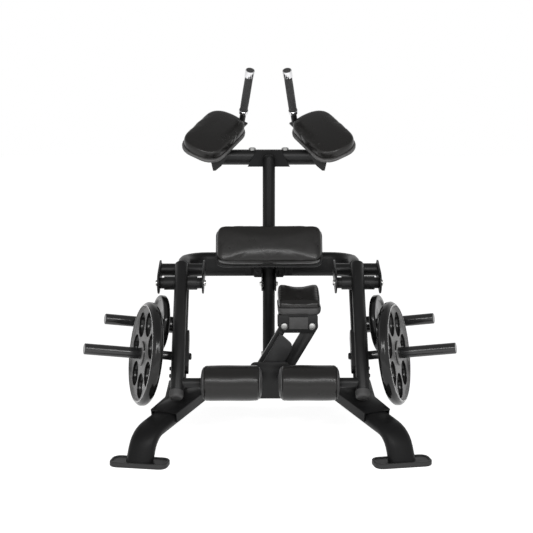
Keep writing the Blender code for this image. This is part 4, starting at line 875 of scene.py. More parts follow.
def weld_tree():
    """Rippled weld bead along the edges of a mesh."""
    length = "NodeSocketFloat"
    tree = Tree("weld_bead", (("Radius", length, 0.0032), ("Pitch", length, 0.0024),
                              ("Seed", "NodeSocketInt", 3)))
    curve = tree.node("GeometryNodeMeshToCurve", (("Mesh", tree.given("Geometry")),))
    even = tree.node("GeometryNodeResampleCurve", (
        ("Curve", curve.outputs["Curve"]), ("Length", tree.given("Pitch"))), mode="LENGTH")
    ripple = tree.node("GeometryNodeMeshIcoSphere", (("Radius", tree.given("Radius")),
                                                     ("Subdivisions", 2)))
    flat = tree.node("GeometryNodeTransform", (
        ("Geometry", ripple.outputs["Mesh"]), ("Scale", (0.62, 1.0, 0.8))))
    tangent = tree.node("GeometryNodeInputTangent")
    turned = tree.node("FunctionNodeAlignRotationToVector", (
        ("Vector", tangent.outputs[0]),), axis="X")
    uneven = tree.node("FunctionNodeRandomValue", (
        ("Seed", tree.given("Seed")),), data_type="FLOAT")
    uneven.inputs[2].default_value = 0.88
    uneven.inputs[3].default_value = 1.12
    beads = tree.node("GeometryNodeInstanceOnPoints", (
        ("Points", even.outputs["Curve"]), ("Instance", flat.outputs["Geometry"]),
        ("Rotation", turned.outputs[0]), ("Scale", uneven.outputs[1])))
    return tree.finish(beads.outputs["Instances"])


TREES = {}


def make_trees():
    """Builds each tree once."""
    TREES.update(plate=plate_tree(), bolts=bolt_tree(), weld=weld_tree())


# ---------------------------------------------------------------- stuffed pads

PAD_SEAT = 0.0003           # gap under a pad
PAD_BASE = 0.0060           # height over which a pad stays flat on its board
THIGH_HALF_THICK = 0.035
ELBOW_THICK = 0.052


def pad_frame(x_axis, y_axis, z_axis, origin):
    """Matrix of a pad: Z out of its face."""
    turn = Matrix((x_axis, y_axis, z_axis)).transposed().to_4x4()
    turn.translation = origin
    return turn


def thigh_frame():
    """Back face of the thigh pad."""
    lean = math.radians(27.0)
    up = Vector((0, math.sin(lean), math.cos(lean)))
    face = Vector((0, -math.cos(lean), math.sin(lean)))
    frame = pad_frame(Vector((1, 0, 0)), up, face, Vector((0, CURL_Y + 0.112, 0.832)))
    return frame @ Matrix.Translation((0, 0, PAD_SEAT - THIGH_HALF_THICK))


def elbow_frame(side):
    """Under face of an elbow pad."""
    lean, splay = math.radians(35.0), math.radians(30.0)
    up = Vector((-side * 0.115, -math.sin(lean), math.cos(lean))).normalized()
    right = (Vector((1, 0, 0)) - up * up.x).normalized()
    back = up.cross(right)
    long_axis = right * (-side * math.sin(splay)) + back * math.cos(splay)
    origin = Vector((side * 0.273, CURL_Y + 0.240, 1.337)) - right * side * 0.0145 + back * 0.055
    frame = pad_frame(long_axis.cross(up), long_axis, up, origin)
    return frame @ Matrix.Translation((0, 0, PAD_SEAT - ELBOW_THICK))


def knee_frame():
    """Under face of the knee pad."""
    low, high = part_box("knee_pad")
    return Matrix.Translation(((low.x + high.x) / 2, (low.y + high.y) / 2, low.z))


def spread_out(mesh):
    """Takes an elbow cushion out to the edge of its board."""
    ends = [(min(v.co[i] for v in mesh.vertices), max(v.co[i] for v in mesh.vertices))
            for i in (0, 1)]
    x, y = (sum(pair) / 2 for pair in ends)
    mesh.transform(Matrix.Translation((x, y, 0)) @ Matrix.Diagonal((1.055, 1.045, 1.0, 1.0))
                   @ Matrix.Translation((-x, -y, 0)))


def plumped(mesh):
    """Fills the raised back of the knee cushion and rounds its corners."""
    half, deep, tall = (max(abs(v.co[i]) for v in mesh.vertices) for i in range(3))
    for vertex in mesh.vertices:
        across, back, up = vertex.co.x / half, vertex.co.y / deep, vertex.co.z / tall
        rear = min(1.0, max(0.0, back * 0.8 + 0.5))
        middle_share = max(0.0, 1.0 - across * across)
        risen = min(1.0, up * 1.6)
        vertex.co.z += risen * risen * rear * (0.0030 + 0.0120 * middle_share)
        vertex.co.z -= 0.0035 * abs(across) ** 5 * up
        vertex.co.x *= 1.0 + 0.045 * up
    mesh.update()


def inflated(mesh, pads):
    """Cover after the stuffing has swelled it, by cloth simulation, with each move kept small."""
    scene = bpy.context.scene
    obj = bpy.data.objects.new("cover", mesh)
    scene.collection.objects.link(obj)
    before = np.array([v.co for v in mesh.vertices], float)
    stuffing = obj.modifiers.new("stuffing", "CLOTH")
    cloth = stuffing.settings
    cloth.quality = 5
    cloth.mass = 0.3
    cloth.use_pressure = True
    cloth.uniform_pressure_force = pads.pressure
    cloth.tension_stiffness = cloth.compression_stiffness = 15
    cloth.effector_weights.gravity = 0
    stuffing.collision_settings.use_collision = False
    for frame in range(1, 21):
        scene.frame_set(frame)
    graph = bpy.context.evaluated_depsgraph_get()
    result = bpy.data.meshes.new_from_object(obj.evaluated_get(graph), depsgraph=graph)
    bpy.data.objects.remove(obj)
    scene.frame_set(1)
    moved = np.array([v.co for v in result.vertices], float) - before
    moved *= min(1.0, pads.swell / np.percentile(np.linalg.norm(moved, axis=1), 96))
    far = np.linalg.norm(moved, axis=1, keepdims=True)
    moved *= np.minimum(1.0, pads.swell * 1.1 / np.maximum(far, 1e-9))
    held = np.clip((before[:, 2] - before[:, 2].min()) / PAD_BASE, 0, 1)[:, None]
    result.vertices.foreach_set("co", (before + moved * held).astype(np.float32).ravel())
    return result


def seam_pulled(mesh, height, depth):
    """Draws the cover in along a line at a height above the board."""
    width = 0.0026
    size = len(mesh.vertices)
    place = np.zeros(size * 3, np.float32)
    normal = np.zeros(size * 3, np.float32)
    mesh.vertices.foreach_get("co", place)
    mesh.vertices.foreach_get("normal", normal)
    place, normal = place.reshape(-1, 3), normal.reshape(-1, 3)
    sideways = np.linalg.norm(normal[:, :2], axis=1, keepdims=True)
    near = np.exp(-((place[:, 2:] - height) / width) ** 2)
    place -= normal * (depth * near * np.clip(sideways * 1.6 - 0.3, 0, 1))
    mesh.vertices.foreach_set("co", place.ravel())
    mesh.update()


def section(mesh, height):
    """Points round a pad at a height above its board, in order."""
    bm = bmesh.new()
    bm.from_mesh(mesh)
    bmesh.ops.bisect_plane(bm, geom=bm.verts[:] + bm.edges[:] + bm.faces[:], dist=1e-6,
                           plane_co=(0, 0, height), plane_no=(0, 0, 1), clear_inner=True,
                           clear_outer=True)
    ring = sorted((v.co.copy() for v in bm.verts), key=lambda p: math.atan2(p.y, p.x))
    bm.free()
    return ring


def cord_through(points, radius, name):
    """Round cord through a ring of points."""
    curve = bpy.data.curves.new(name, "CURVE")
    curve.dimensions = "3D"
    curve.bevel_depth = radius
    curve.bevel_resolution = 3
    spline = curve.splines.new("POLY")
    spline.points.add(len(points) - 1)
    for point, place in zip(spline.points, points):
        point.co = (*place, 1.0)
    spline.use_cyclic_u = True
    obj = bpy.data.objects.new(name, curve)
    bpy.context.scene.collection.objects.link(obj)
    graph = bpy.context.evaluated_depsgraph_get()
    mesh = bpy.data.meshes.new_from_object(obj.evaluated_get(graph), depsgraph=graph)
    bpy.data.objects.remove(obj)
    return resmoothed(mesh, name, math.radians(80))


def stuffed_pad(name, node, frame, seam_at, soften=5, shape=None):
    """Cushion that stands for a pad solid: swelled cover, drawn-in seam and sewn edge cord."""
    pads = bpy.context.scene.machine_pads
    cord_at, settling = 0.0042, 0.02    # height of the cord, and of what settles on the board
    bm = bmesh.new()
    bm.from_mesh(NODES[node].data)
    bmesh.ops.remove_doubles(bm, verts=bm.verts, dist=JOIN_WITHIN)
    bm.transform(frame.inverted())
    mesh = bpy.data.meshes.new(name)
    bm.to_mesh(mesh)
    bm.free()
    mesh = settled(mesh, [
        ("SUBSURF", {"levels": 1, "render_levels": 1, "subdivision_type": "SIMPLE"}),
        ("DISPLACE", {"strength": -pads.shrink, "mid_level": 0.0}),
        ("REMESH", {"mode": "VOXEL", "voxel_size": pads.voxel}),
        ("SMOOTH", {"factor": 0.5, "iterations": soften})])
    if shape:
        shape(mesh)
    mesh = inflated(mesh, pads)
    mesh = settled(mesh, [("SUBSURF", {"levels": 1, "render_levels": 1})])
    seam_pulled(mesh, seam_at, pads.seam)
    low = min(v.co.z for v in mesh.vertices)
    for vertex in mesh.vertices:
        vertex.co.z -= low * max(0.0, 1.0 - (vertex.co.z - low) / settling)
    ring = section(mesh, cord_at)
    cord = cord_through(
        [p + Vector((p.x, p.y, 0)).normalized() * pads.piping * 0.25 for p in ring],
        pads.piping, name + "_piping")
    cord.transform(frame)
    mesh.transform(frame)
    mesh = resmoothed(mesh, name, math.radians(75))
    cushion = piece(name, mesh, "black_vinyl", BODY_OF[node], (node,))
    piece(name + "_piping", cord, "piping", BODY_OF[node])


# ---------------------------------------------------------------- operators

class PieceOperator:
    """What every operator here shares."""

    bl_options = {"REGISTER", "UNDO"}


class MACHINE_OT_looks(PieceOperator, bpy.types.Operator):
    """Build the materials and the node trees that the other steps use"""

    bl_idname = "machine.looks"
    bl_label = "Materials"

    def execute(self, context):
        make_looks(context.scene)
        make_trees()
        return {"FINISHED"}


class MACHINE_OT_steelwork(PieceOperator, bpy.types.Operator):
    """Finish the painted steel: legs, uprights, beams, U-frame, post, arms, horns and linkage"""

    bl_idname = "machine.steelwork"
    bl_label = "Steelwork"

    edges = {"side_upright": 0.0012, "u_frame": 0.0010, "post_clevis": 0.0010,
             "elbow_cross_tube": 0.0010, "thigh_pad_strap": 0.0010, "curl_arm": 0.0010,
             "knee_mount": 0.0008, "knee_link": 0.0009, "knee_carriage": 0.0008}
    looks = {"roller_core": "base_plastic", "weight_horn": "horn_paint",
             "storage_horn": "horn_paint", "thigh_pad_strap": "linkage_box",
             "front_leg": "leg_black", "post": "leg_black", "side_upright": "leg_black"}

    def execute(self, context):
        for node in sorted(NODES):
            stem = stem_of(node)
            if SLOT_OF[node] == "black_frame":
                dressed(node, self.looks.get(stem, "black_frame"), self.edges.get(stem, 0.0))
        return {"FINISHED"}


class MACHINE_OT_small_parts(PieceOperator, bpy.types.Operator):
    """Finish the moulded caps, boards, rubber feet, axles and pins"""

    bl_idname = "machine.small_parts"
    bl_label = "Caps, boards, feet and pins"

    def execute(self, context):
        slots = {"grey_plastic": 0.0006, "foot_rubber": 0.0020, "dark_steel": 0.0,
                 "black_board": 0.0, "bright_chrome": 0.0}
        looks = {"arm_axle": "zinc", "knee_pin_top": "brushed_pin", "elbow_board": "board_plastic"}
        for node in sorted(NODES):
            stem = stem_of(node)
            if SLOT_OF[node] in slots and stem not in ("handle", "arm_bumper", "knee_pad_base"):
                dressed(node, looks.get(stem, SLOT_OF[node]), slots[SLOT_OF[node]])
        return {"FINISHED"}


class MACHINE_OT_thigh_pad(PieceOperator, bpy.types.Operator):
    """Stuff the thigh pad"""

    bl_idname = "machine.thigh_pad"
    bl_label = "Thigh pad"

    def execute(self, context):
        stuffed_pad("thigh_cushion", "thigh_pad", thigh_frame(), 0.013)
        return {"FINISHED"}


class MACHINE_OT_elbow_pads(PieceOperator, bpy.types.Operator):
    """Stuff the two elbow pads"""

    bl_idname = "machine.elbow_pads"
    bl_label = "Elbow pads"

    def execute(self, context):
        for name, side in SIDES.items():
            stuffed_pad("elbow_cushion_" + name, "elbow_pad_" + name, elbow_frame(side), 0.011,
                        soften=9, shape=spread_out)
        return {"FINISHED"}


class MACHINE_OT_knee_pad(PieceOperator, bpy.types.Operator):
    """Stuff the saddle-shaped knee pad"""

    bl_idname = "machine.knee_pad"
    bl_label = "Knee pad"

    def execute(self, context):
        stuffed_pad("knee_cushion", "knee_pad", knee_frame(), 0.009, soften=9, shape=plumped)
        return {"FINISHED"}


class MACHINE_OT_rollers(PieceOperator, bpy.types.Operator):
    """Cover the two foam rollers in vinyl, with a seam at each end"""

    bl_idname = "machine.rollers"
    bl_label = "Rollers"

    def execute(self, context):
        for name, side in SIDES.items():
            node = "roller_" + name
            low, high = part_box(node)
            radius, length = (high.z - low.z) / 2, high.x - low.x
            profile = self.cover(radius, length)
            mesh = self.puckered(lathe(profile, Matrix.Identity(4), 128, node), length)
            mesh.transform(along(middle(node), (1, 0, 0))
                           @ Matrix.Translation((0, 0, -length / 2)))
            mesh = resmoothed(mesh, node, math.radians(70))
            cover = piece(node + "_cover", mesh, "black_vinyl", BODY_OF[node],
                          (node,))
        return {"FINISHED"}

    @staticmethod
    def cover(radius, length):
        """Profile of the cover: round shoulders, a stitched line near each end, a slight crown."""
        bore, shoulder, steps = 0.0225, 0.011, 72
        profile = [(bore, 0.0), (radius - shoulder - 0.012, 0.0)]
        for i in range(9):
            turn = math.pi / 2 * i / 8
            profile.append((radius - 0.001 - shoulder + shoulder * math.sin(turn),
                            shoulder - shoulder * math.cos(turn)))
        for i in range(1, steps):
            height = shoulder + (length - 2 * shoulder) * i / steps
            crown = 0.001 * (1 - abs(2 * height / length - 1) ** 3)
            line = sum(math.exp(-((height - at) / 0.0016) ** 2) for at in (0.019, length - 0.019))
            profile.append((radius - 0.001 + crown - 0.0011 * line, height))
        for i in range(9):
            turn = math.pi / 2 * (1 - i / 8)
            profile.append((radius - 0.001 - shoulder + shoulder * math.sin(turn),
                            length - shoulder + shoulder * math.cos(turn)))
        profile += [(radius - shoulder - 0.012, length), (bore, length), (bore, 0.0)]
        return profile

    @staticmethod
    def puckered(mesh, length):
        """Small gathers round each end, where the cover is drawn over the foam."""
        size = len(mesh.vertices)
        place = np.zeros(size * 3, np.float32)
        mesh.vertices.foreach_get("co", place)
        place = place.reshape(-1, 3)
        turn = np.arctan2(place[:, 1], place[:, 0])
        radius = np.hypot(place[:, 0], place[:, 1])
        near = np.exp(-(np.minimum(place[:, 2], length - place[:, 2]) / 0.013) ** 2)
        wave = (np.sin(23 * turn) * 0.5 + np.sin(37 * turn + 1.3) * 0.3
                + np.sin(11 * turn + 0.4) * 0.4)
        outer = np.clip((radius - 0.05) / 0.02, 0, 1)
        change = -0.0006 * near * outer * (1 + wave)
        long_wave = 0.0004 * np.sin(3 * turn + 40 * place[:, 2]) * outer
        scale = 1 + (change + long_wave - 0.0004 * outer) / np.maximum(radius, 1e-6)
        place[:, :2] *= scale[:, None]
        mesh.vertices.foreach_set("co", place.ravel())
        mesh.update()
        return mesh


class MACHINE_OT_weight_plates(PieceOperator, bpy.types.Operator):
    """Cast the large weight plates with their ring of openings, and finish the small ones"""

    bl_idname = "machine.weight_plates"
    bl_label = "Weight plates"

    def execute(self, context):
        sizes = context.scene.machine_plates
        seed = bpy.data.meshes.new("seed")
        raw = grown(TREES["plate"], seed, "cast_grey", Radius=sizes.radius,
                    Thickness=sizes.thickness, Web=sizes.web, Rim=sizes.rim, Hub=sizes.hub,
                    Bore=sizes.bore, Openings=sizes.openings, Opening_In=sizes.opening_in,
                    Opening_Out=sizes.opening_out)
        cast = self.softened(raw)
        for name, side in SIDES.items():
            node = "weight_plate_" + name
            heading = horn_heading(side)
            mesh = cast.copy()
            turn = Matrix.Rotation(math.pi if side > 0 else 0.0, 4, "Z")
            mesh.transform(along(middle(node), heading) @ turn)
            self.lipped(mesh, middle(node), heading, sizes)
            piece(node + "_casting", mesh, None, BODY_OF[node], (node,))
            dressed("storage_plate_" + name, "plate_rim", 0.0012)
        return {"FINISHED"}

    @staticmethod
    def softened(raw):
        """Cast edges rounded."""
        bm = bmesh.new()
        bm.from_mesh(raw)
        bmesh.ops.remove_doubles(bm, verts=bm.verts, dist=0.00005)
        bmesh.ops.dissolve_limit(bm, angle_limit=math.radians(0.5), verts=bm.verts, edges=bm.edges)
        clean = mesh_of(bm, "casting", math.radians(25))
        mesh = settled(clean, [("BEVEL", {"width": 0.0032, "segments": 3, "limit_method": "ANGLE",
                                          "angle_limit": math.radians(30)})])
        return resmoothed(mesh, "casting", math.radians(42))

    @staticmethod
    def lipped(mesh, centre, heading, sizes):
        """Grey on the faces, gloss on the thin lip and on the edge; the dark edge gloss also lies
        on the walls of the openings, the dish and the bore as painted shade.
        """
        mesh.materials.clear()
        for look in ("cast_grey", "plate_rim", "plate_lip"):
            mesh.materials.append(LOOKS[look])
        for face in mesh.polygons:
            arm = face.center - centre
            out = (arm - heading * arm.dot(heading)).length
            flat = abs(face.normal.dot(heading))
            if out > sizes.radius - sizes.rim - 0.0022:
                face.material_index = 2 if flat > 0.90 and out < sizes.radius - 0.011 else 1
            else:
                # painted shade: the walls of the dish, the openings and the bore take the dark edge
                # gloss
                face.material_index = 0 if flat > 0.45 else 1


def horn_heading(side):
    """Direction of a weight horn: outwards, towards the user and up."""
    turn, rise = math.radians(17.5), math.radians(9.0)
    return Vector((side * math.cos(rise) * math.cos(turn), -math.cos(rise) * math.sin(turn),
                   math.sin(rise)))


class MACHINE_OT_handles(PieceOperator, bpy.types.Operator):
    """Turn the two handles, with chrome caps and rings, and knurl the rubber of their grips"""

    bl_idname = "machine.handles"
    bl_label = "Handles and grips"

    def execute(self, context):
        for name, side in SIDES.items():
            way = Vector((-side * 0.14, -0.56, 0.82)).normalized()
            node = "handle_" + name
            reach = sorted((v.co - middle(node)).dot(way) for v in NODES[node].data.vertices)
            foot = self.on_axis(node, way, reach[0])
            tip = reach[-1] - reach[0]
            head, rod, neck, ring, cap = 0.0228, 0.0150, 0.0125, tip - 0.254, tip - 0.037
            profile = [(0.0, 0.0), (rod, 0.0), (rod, ring), (head - 0.001, ring),
                       (head, ring + 0.001), (head, ring + 0.017), (head - 0.001, ring + 0.018),
                       (neck, ring + 0.018), (neck, cap), (head - 0.001, cap),
                       (head, cap + 0.001), (head, tip - 0.0035), (head - 0.0012, tip - 0.0008),
                       (head - 0.0030, tip), (head - 0.0042, tip - 0.0006),
                       (head - 0.0050, tip - 0.0022), (0.0, tip - 0.0016)]
            mesh = lathe(profile, Matrix.Identity(4), 48, node)
            mesh.materials.clear()
            for look in ("bright_chrome", "black_frame", "grey_plastic"):
                mesh.materials.append(LOOKS[look])
            for face in mesh.polygons:
                out = math.hypot(face.center.x, face.center.y)
                if face.center.z < ring - 0.0001:
                    face.material_index = 1
                elif face.center.z > tip - 0.0025 and out < head - 0.0046:
                    face.material_index = 2
            mesh.transform(along(foot, way))
            piece(node + "_turned", mesh, None, BODY_OF[node], (node,))
            grip = "handle_grip_" + name
            mesh = lathe(self.rubber(ring + 0.0186, cap - 0.0006), along(foot, way), 48, grip,
                         with_map=True)
            piece(grip + "_rubber", mesh, "grip_rubber", BODY_OF[grip], (grip,))
        return {"FINISHED"}

    @staticmethod
    def on_axis(node, way, low):
        """Middle of a turned node's lowest ring."""
        ring = [v.co for v in NODES[node].data.vertices
                if (v.co - middle(node)).dot(way) < low + SAME_LEVEL]
        return sum(ring, Vector()) / len(ring)

    @staticmethod
    def rubber(low, high):
        """Profile of a grip: a thin collar at each end and a slight swell between them."""
        radius, bore, steps = 0.0196, 0.0129, 44
        profile = [(bore, low), (radius - 0.0008, low), (radius + 0.0004, low + 0.0010)]
        for i in range(1, steps):
            height = low + 0.0012 + (high - low - 0.0024) * i / steps
            collar = 0.0006 if min(height - low, high - height) < 0.009 else 0.0
            swell = 0.0006 * math.sin(math.pi * (height - low) / (high - low))
            profile.append((radius - 0.0004 + swell + collar, height))
        return profile + [(radius + 0.0004, high - 0.0010), (radius - 0.0008, high), (bore, high)]


class MACHINE_OT_bumpers(PieceOperator, bpy.types.Operator):
    """Fit the moulded bumper on the lower end of each curl arm"""

    bl_idname = "machine.bumpers"
    bl_label = "Arm bumpers"

    def execute(self, context):
        profile = [(0.0, 0.0), (0.0310, 0.0), (0.0318, 0.0010), (0.0318, 0.0170), (0.0312, 0.0225)]
        for i in range(1, 9):
            turn = math.pi / 2 * i / 8
            profile.append((0.0312 - 0.0105 * (1 - math.cos(turn)),
                            0.0225 + 0.0135 * math.sin(turn)))
        profile += [(0.0150, 0.0372), (0.0070, 0.0379), (0.0, 0.0381)]
        for name in SIDES:
            node = "arm_bumper_" + name
            points = [v.co for v in NODES[node].data.vertices]
            top = min((p - points[0]).dot(ARM_DOWN) for p in points)
            ring = [p for p in points if (p - points[0]).dot(ARM_DOWN) < top + SAME_LEVEL]
            mesh = lathe(profile, along(sum(ring, Vector()) / len(ring), ARM_DOWN), 48, node)
            piece(node + "_moulding", mesh, "grey_plastic", BODY_OF[node], (node,))
        return {"FINISHED"}


class MACHINE_OT_knee_base(PieceOperator, bpy.types.Operator):
    """Mould the knee pad's base and square off the box on the left link"""

    bl_idname = "machine.knee_base"
    bl_label = "Knee pad base and link box"

    def execute(self, context):
        low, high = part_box("knee_pad_base")
        centre = (low + high) / 2
        corner = 0.030
        bm = bmesh.new()
        rings = []
        for height, inset in ((0.0, 0.016), (0.0012, 0.0120), (0.0050, 0.0070), (0.0110, 0.0028),
                              (0.0180, 0.0006), (0.0235, 0.0), (0.0242, 0.0010), (0.0262, 0.0010),
                              (0.0268, 0.0), (0.0330, 0.0), (0.0340, 0.0012)):
            ring = []
            for sx, sy, start in ((1, 1, 0), (-1, 1, 90), (-1, -1, 180), (1, -1, 270)):
                for i in range(9):
                    turn = math.radians(start + 90 * i / 8)
                    reach = corner - inset
                    ring.append(bm.verts.new((
                        centre.x + sx * ((high.x - low.x) / 2 - corner) + reach * math.cos(turn),
                        centre.y + sy * ((high.y - low.y) / 2 - corner) + reach * math.sin(turn),
                        low.z + height)))
            rings.append(ring)
        skinned(bm, rings)
        piece("knee_pad_base_moulding", mesh_of(bm, "knee_pad_base"), "base_plastic",
              BODY_OF["knee_pad_base"], ("knee_pad_base",))
        self.link_box()
        return {"FINISHED"}

    @staticmethod
    def link_box():
        """Folded box over the stiffener of the left link, its end cut at a slant."""
        outline = ((-0.002, 0.0345), (0.0805, 0.0345), (0.0805, 0.192), (0.0698, 0.2042),
                   (0.060, 0.2095), (-0.002, 0.222))
        bm = bmesh.new()
        face = bm.faces.new([bm.verts.new((x, CURL_Y - 0.1858, z)) for x, z in outline])
        made = bmesh.ops.extrude_face_region(bm, geom=[face])
        bmesh.ops.translate(bm, vec=(0, 0.0257, 0),
                            verts=[v for v in made["geom"] if isinstance(v, bmesh.types.BMVert)])
        bmesh.ops.recalc_face_normals(bm, faces=bm.faces)
        bm.transform(Matrix.Translation(LINK_PIVOT) @ Matrix.Rotation(LINK_LEAN, 4, "Y"))
        mesh = settled(mesh_of(bm, "link_box"), [("BEVEL", {"width": 0.0022, "segments": 3})])
        piece("link_box_cover", resmoothed(mesh, "link_box", math.radians(50)), "linkage_box",
              BODY_OF["knee_link_left"])


def pointed(places, name):
    """Mesh of points, each with the direction that its fastener stands along."""
    mesh = bpy.data.meshes.new(name)
    mesh.from_pydata([tuple(p) for p, _ in places], [], [])
    aim = mesh.attributes.new("aim", "FLOAT_VECTOR", "POINT")
    for item, (_, way) in zip(aim.data, places):
        item.vector = tuple(Vector(way).normalized())
    return mesh


class MACHINE_OT_fasteners(PieceOperator, bpy.types.Operator):
    """Set the bolts, nuts and washers, one mesh for each set"""

    bl_idname = "machine.fasteners"
    bl_label = "Bolts and nuts"

    def execute(self, context):
        sizes = context.scene.machine_fasteners
        for label, body, look, places, scale in self.places():
            mesh = grown(TREES["bolts"], pointed(places, label), look, Head=sizes.head * scale,
                         Height=sizes.height * scale, Washer=sizes.washer * scale)
            piece(label, resmoothed(mesh, label), look, body)
        return {"FINISHED"}

    @staticmethod
    def places():
        """Label, body, look, points with directions, and size of each set."""
        clevis_x, tube_x = 0.0550, 0.080
        ear, foot = 0.0363, 0.0290          # half widths over the post's ears and over its foot
        above, below = 0.0335, 0.0372       # tube middle to the elbow bracket's bolts and nuts
        horn_face, outer = ARM_X - 0.033 - 0.010, 0.4553
        sets = [
            ("clevis_bolts", BODY_OF["post_clevis"], "black_frame", [
                ((x, CURL_Y + 0.3277, CLEVIS_BOLT_Z), (0, -1, 0))
                for x in (-clevis_x, clevis_x)], 0.9),
            ("post_cross_bolt", BODY_OF["post"], "zinc", [
                ((side * ear, POST_Y, POST_CROSS_BOLT_Z), (side, 0, 0))
                for side in SIDES.values()], 1.25),
            ("post_foot_bolt", BODY_OF["post"], "zinc", [
                ((side * foot, POST_Y, POST_FOOT_BOLT_Z), (side, 0, 0))
                for side in SIDES.values()], 1.15),
            ("elbow_tube_bolts", BODY_OF["elbow_cross_tube"], "brushed_pin", [
                ((x, ELBOW_TUBE_Y, ELBOW_TUBE_Z + above), (0, 0, 1))
                for x in (-tube_x, tube_x)], 1.9),
            ("elbow_tube_nuts", BODY_OF["elbow_cross_tube"], "zinc", [
                ((x, ELBOW_TUBE_Y, ELBOW_TUBE_Z - below), (0, 0, -1))
                for x in (-tube_x, tube_x)], 0.95)]
        for name, side in SIDES.items():
            root = horn_root(side)
            sets.append(("horn_nut_" + name, BODY_OF["curl_arm_" + name], "black_frame",
                         [((side * horn_face, root.y, root.z), (-side, 0, 0))], 1.75))
            sets.append(("upright_bolts_" + name, BODY_OF["side_upright_" + name], "black_frame", [
                ((side * outer, CURL_Y + y, z), (side, 0, 0))
                for y, z in ((-0.145, 0.262), (-0.120, 0.290))], 1.0))
        return sets


def horn_root(side):
    """Where a weight horn's line starts, on the arm's bracket."""
    foot = Vector((side * ARM_X, CURL_Y, CURL_Z)) + ARM_FRONT * 0.038
    return foot + ARM_DOWN * 0.3705 - ARM_FRONT * 0.058


class MACHINE_OT_welds(PieceOperator, bpy.types.Operator):
    """Lay weld beads where tubes meet brackets and the roller shafts meet the arms"""

    bl_idname = "machine.welds"
    bl_label = "Weld beads"

    def execute(self, context):
        tube_y, tube_z = CURL_Y + 0.132, CURL_Z + 0.040
        shaft, proud, beside = 0.0236, 0.0006, 0.0042   # ring radius, and gaps to the surfaces
        for name, side in SIDES.items():
            roller = middle("roller_" + name)
            ring = []
            for turn in turns(64):
                a, b = shaft * math.cos(turn), shaft * math.sin(turn)
                x = ARM_X - math.sqrt(ARM_TUBE ** 2 - b ** 2) - proud
                ring.append(Vector((side * x, roller.y, roller.z)) + ARM_DOWN * a + ARM_FRONT * b)
            self.bead("shaft_weld_" + name, ring, BODY_OF["curl_arm_" + name])
            for label, x in (("inner", 0.310 + beside), ("outer", 0.517 - beside)):
                ring = [Vector((side * x, tube_y + TUBE_BEAD * math.cos(turn),
                                tube_z + TUBE_BEAD * math.sin(turn))) for turn in turns(64)]
                self.bead("cross_tube_weld_" + label + "_" + name, ring, BODY_OF["u_frame"])
        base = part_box("post")[0].z + proud
        ring = [Vector((TUBE_BEAD * math.cos(turn), POST_Y + TUBE_BEAD * math.sin(turn), base))
                for turn in turns(64)]
        self.bead("post_foot_weld", ring, BODY_OF["post"])
        return {"FINISHED"}

    @staticmethod
    def bead(name, ring, body):
        """One closed bead."""
        mesh = bpy.data.meshes.new(name)
        edges = [(i, (i + 1) % len(ring)) for i in range(len(ring))]
        mesh.from_pydata([tuple(p) for p in ring], edges, [])
        made = grown(TREES["weld"], mesh, "black_frame")
        piece(name, resmoothed(made, name, math.radians(60)), "black_frame", body)


class MACHINE_OT_tube_plugs(PieceOperator, bpy.types.Operator):
    """Close the open tube ends with moulded plugs"""

    bl_idname = "machine.tube_plugs"
    bl_label = "Tube plugs"

    def execute(self, context):
        rear = (0.270, CURL_Y + 0.470, 0.0523)
        elbow = (0.246, ELBOW_TUBE_Y, ELBOW_TUBE_Z)
        for name, side in SIDES.items():
            for label, node, sizes, (x, y, z) in (
                    ("rear_tube_plug_", "rear_foot", (0.056, 0.026), rear),
                    ("elbow_tube_plug_", "elbow_cross_tube", (0.034, 0.034), elbow)):
                mesh = self.plug(*sizes)
                mesh.transform(along((side * x, y, z), (side, 0, 0)))
                piece(label + name, mesh, "grey_plastic", BODY_OF[node])
        return {"FINISHED"}

    @staticmethod
    def plug(half_long, half_wide):
        """Domed plug with a rounded outline, standing on Z = 0."""
        straight = half_long - half_wide
        bm = bmesh.new()
        rings = []
        for reach, height in ((1.0, 0.0), (1.0, 0.0025), (0.965, 0.0042), (0.80, 0.0052),
                              (0.40, 0.0058)):
            ring = []
            for turn in turns(48):
                x = half_wide * math.cos(turn) + math.copysign(straight, math.cos(turn))
                ring.append(bm.verts.new((x * reach, half_wide * math.sin(turn) * reach, height)))
            rings.append(ring)
        skinned(bm, rings)
        return mesh_of(bm, "plug", math.radians(40))


# ---------------------------------------------------------------- stage

def shown_rays(tree):
    """One for rays from the camera, in reflections and through glass, else nothing."""
    rays = shader_node(tree, "ShaderNodeLightPath")
    level = rays.outputs["Is Camera Ray"]
    for label in ("Is Glossy Ray", "Is Transmission Ray"):
        most = shader_node(tree, "ShaderNodeMath", operation="MAXIMUM")
        tree.links.new(level, most.inputs[0])
        tree.links.new(rays.outputs[label], most.inputs[1])
        level = most.outputs[0]
    return level


def lamp(name, place, target, width, height, power):
    """Soft rectangular lamp that faces a point."""
    data = bpy.data.lights.new(name, "AREA")
    data.shape, data.size, data.size_y, data.energy = "RECTANGLE", width, height, power
    obj = bpy.data.objects.new(name, data)
    obj.location = place
    obj.rotation_euler = (Vector(target) - Vector(place)).to_track_quat("-Z", "Y").to_euler()
    obj.visible_camera = False
    bpy.context.scene.collection.objects.link(obj)


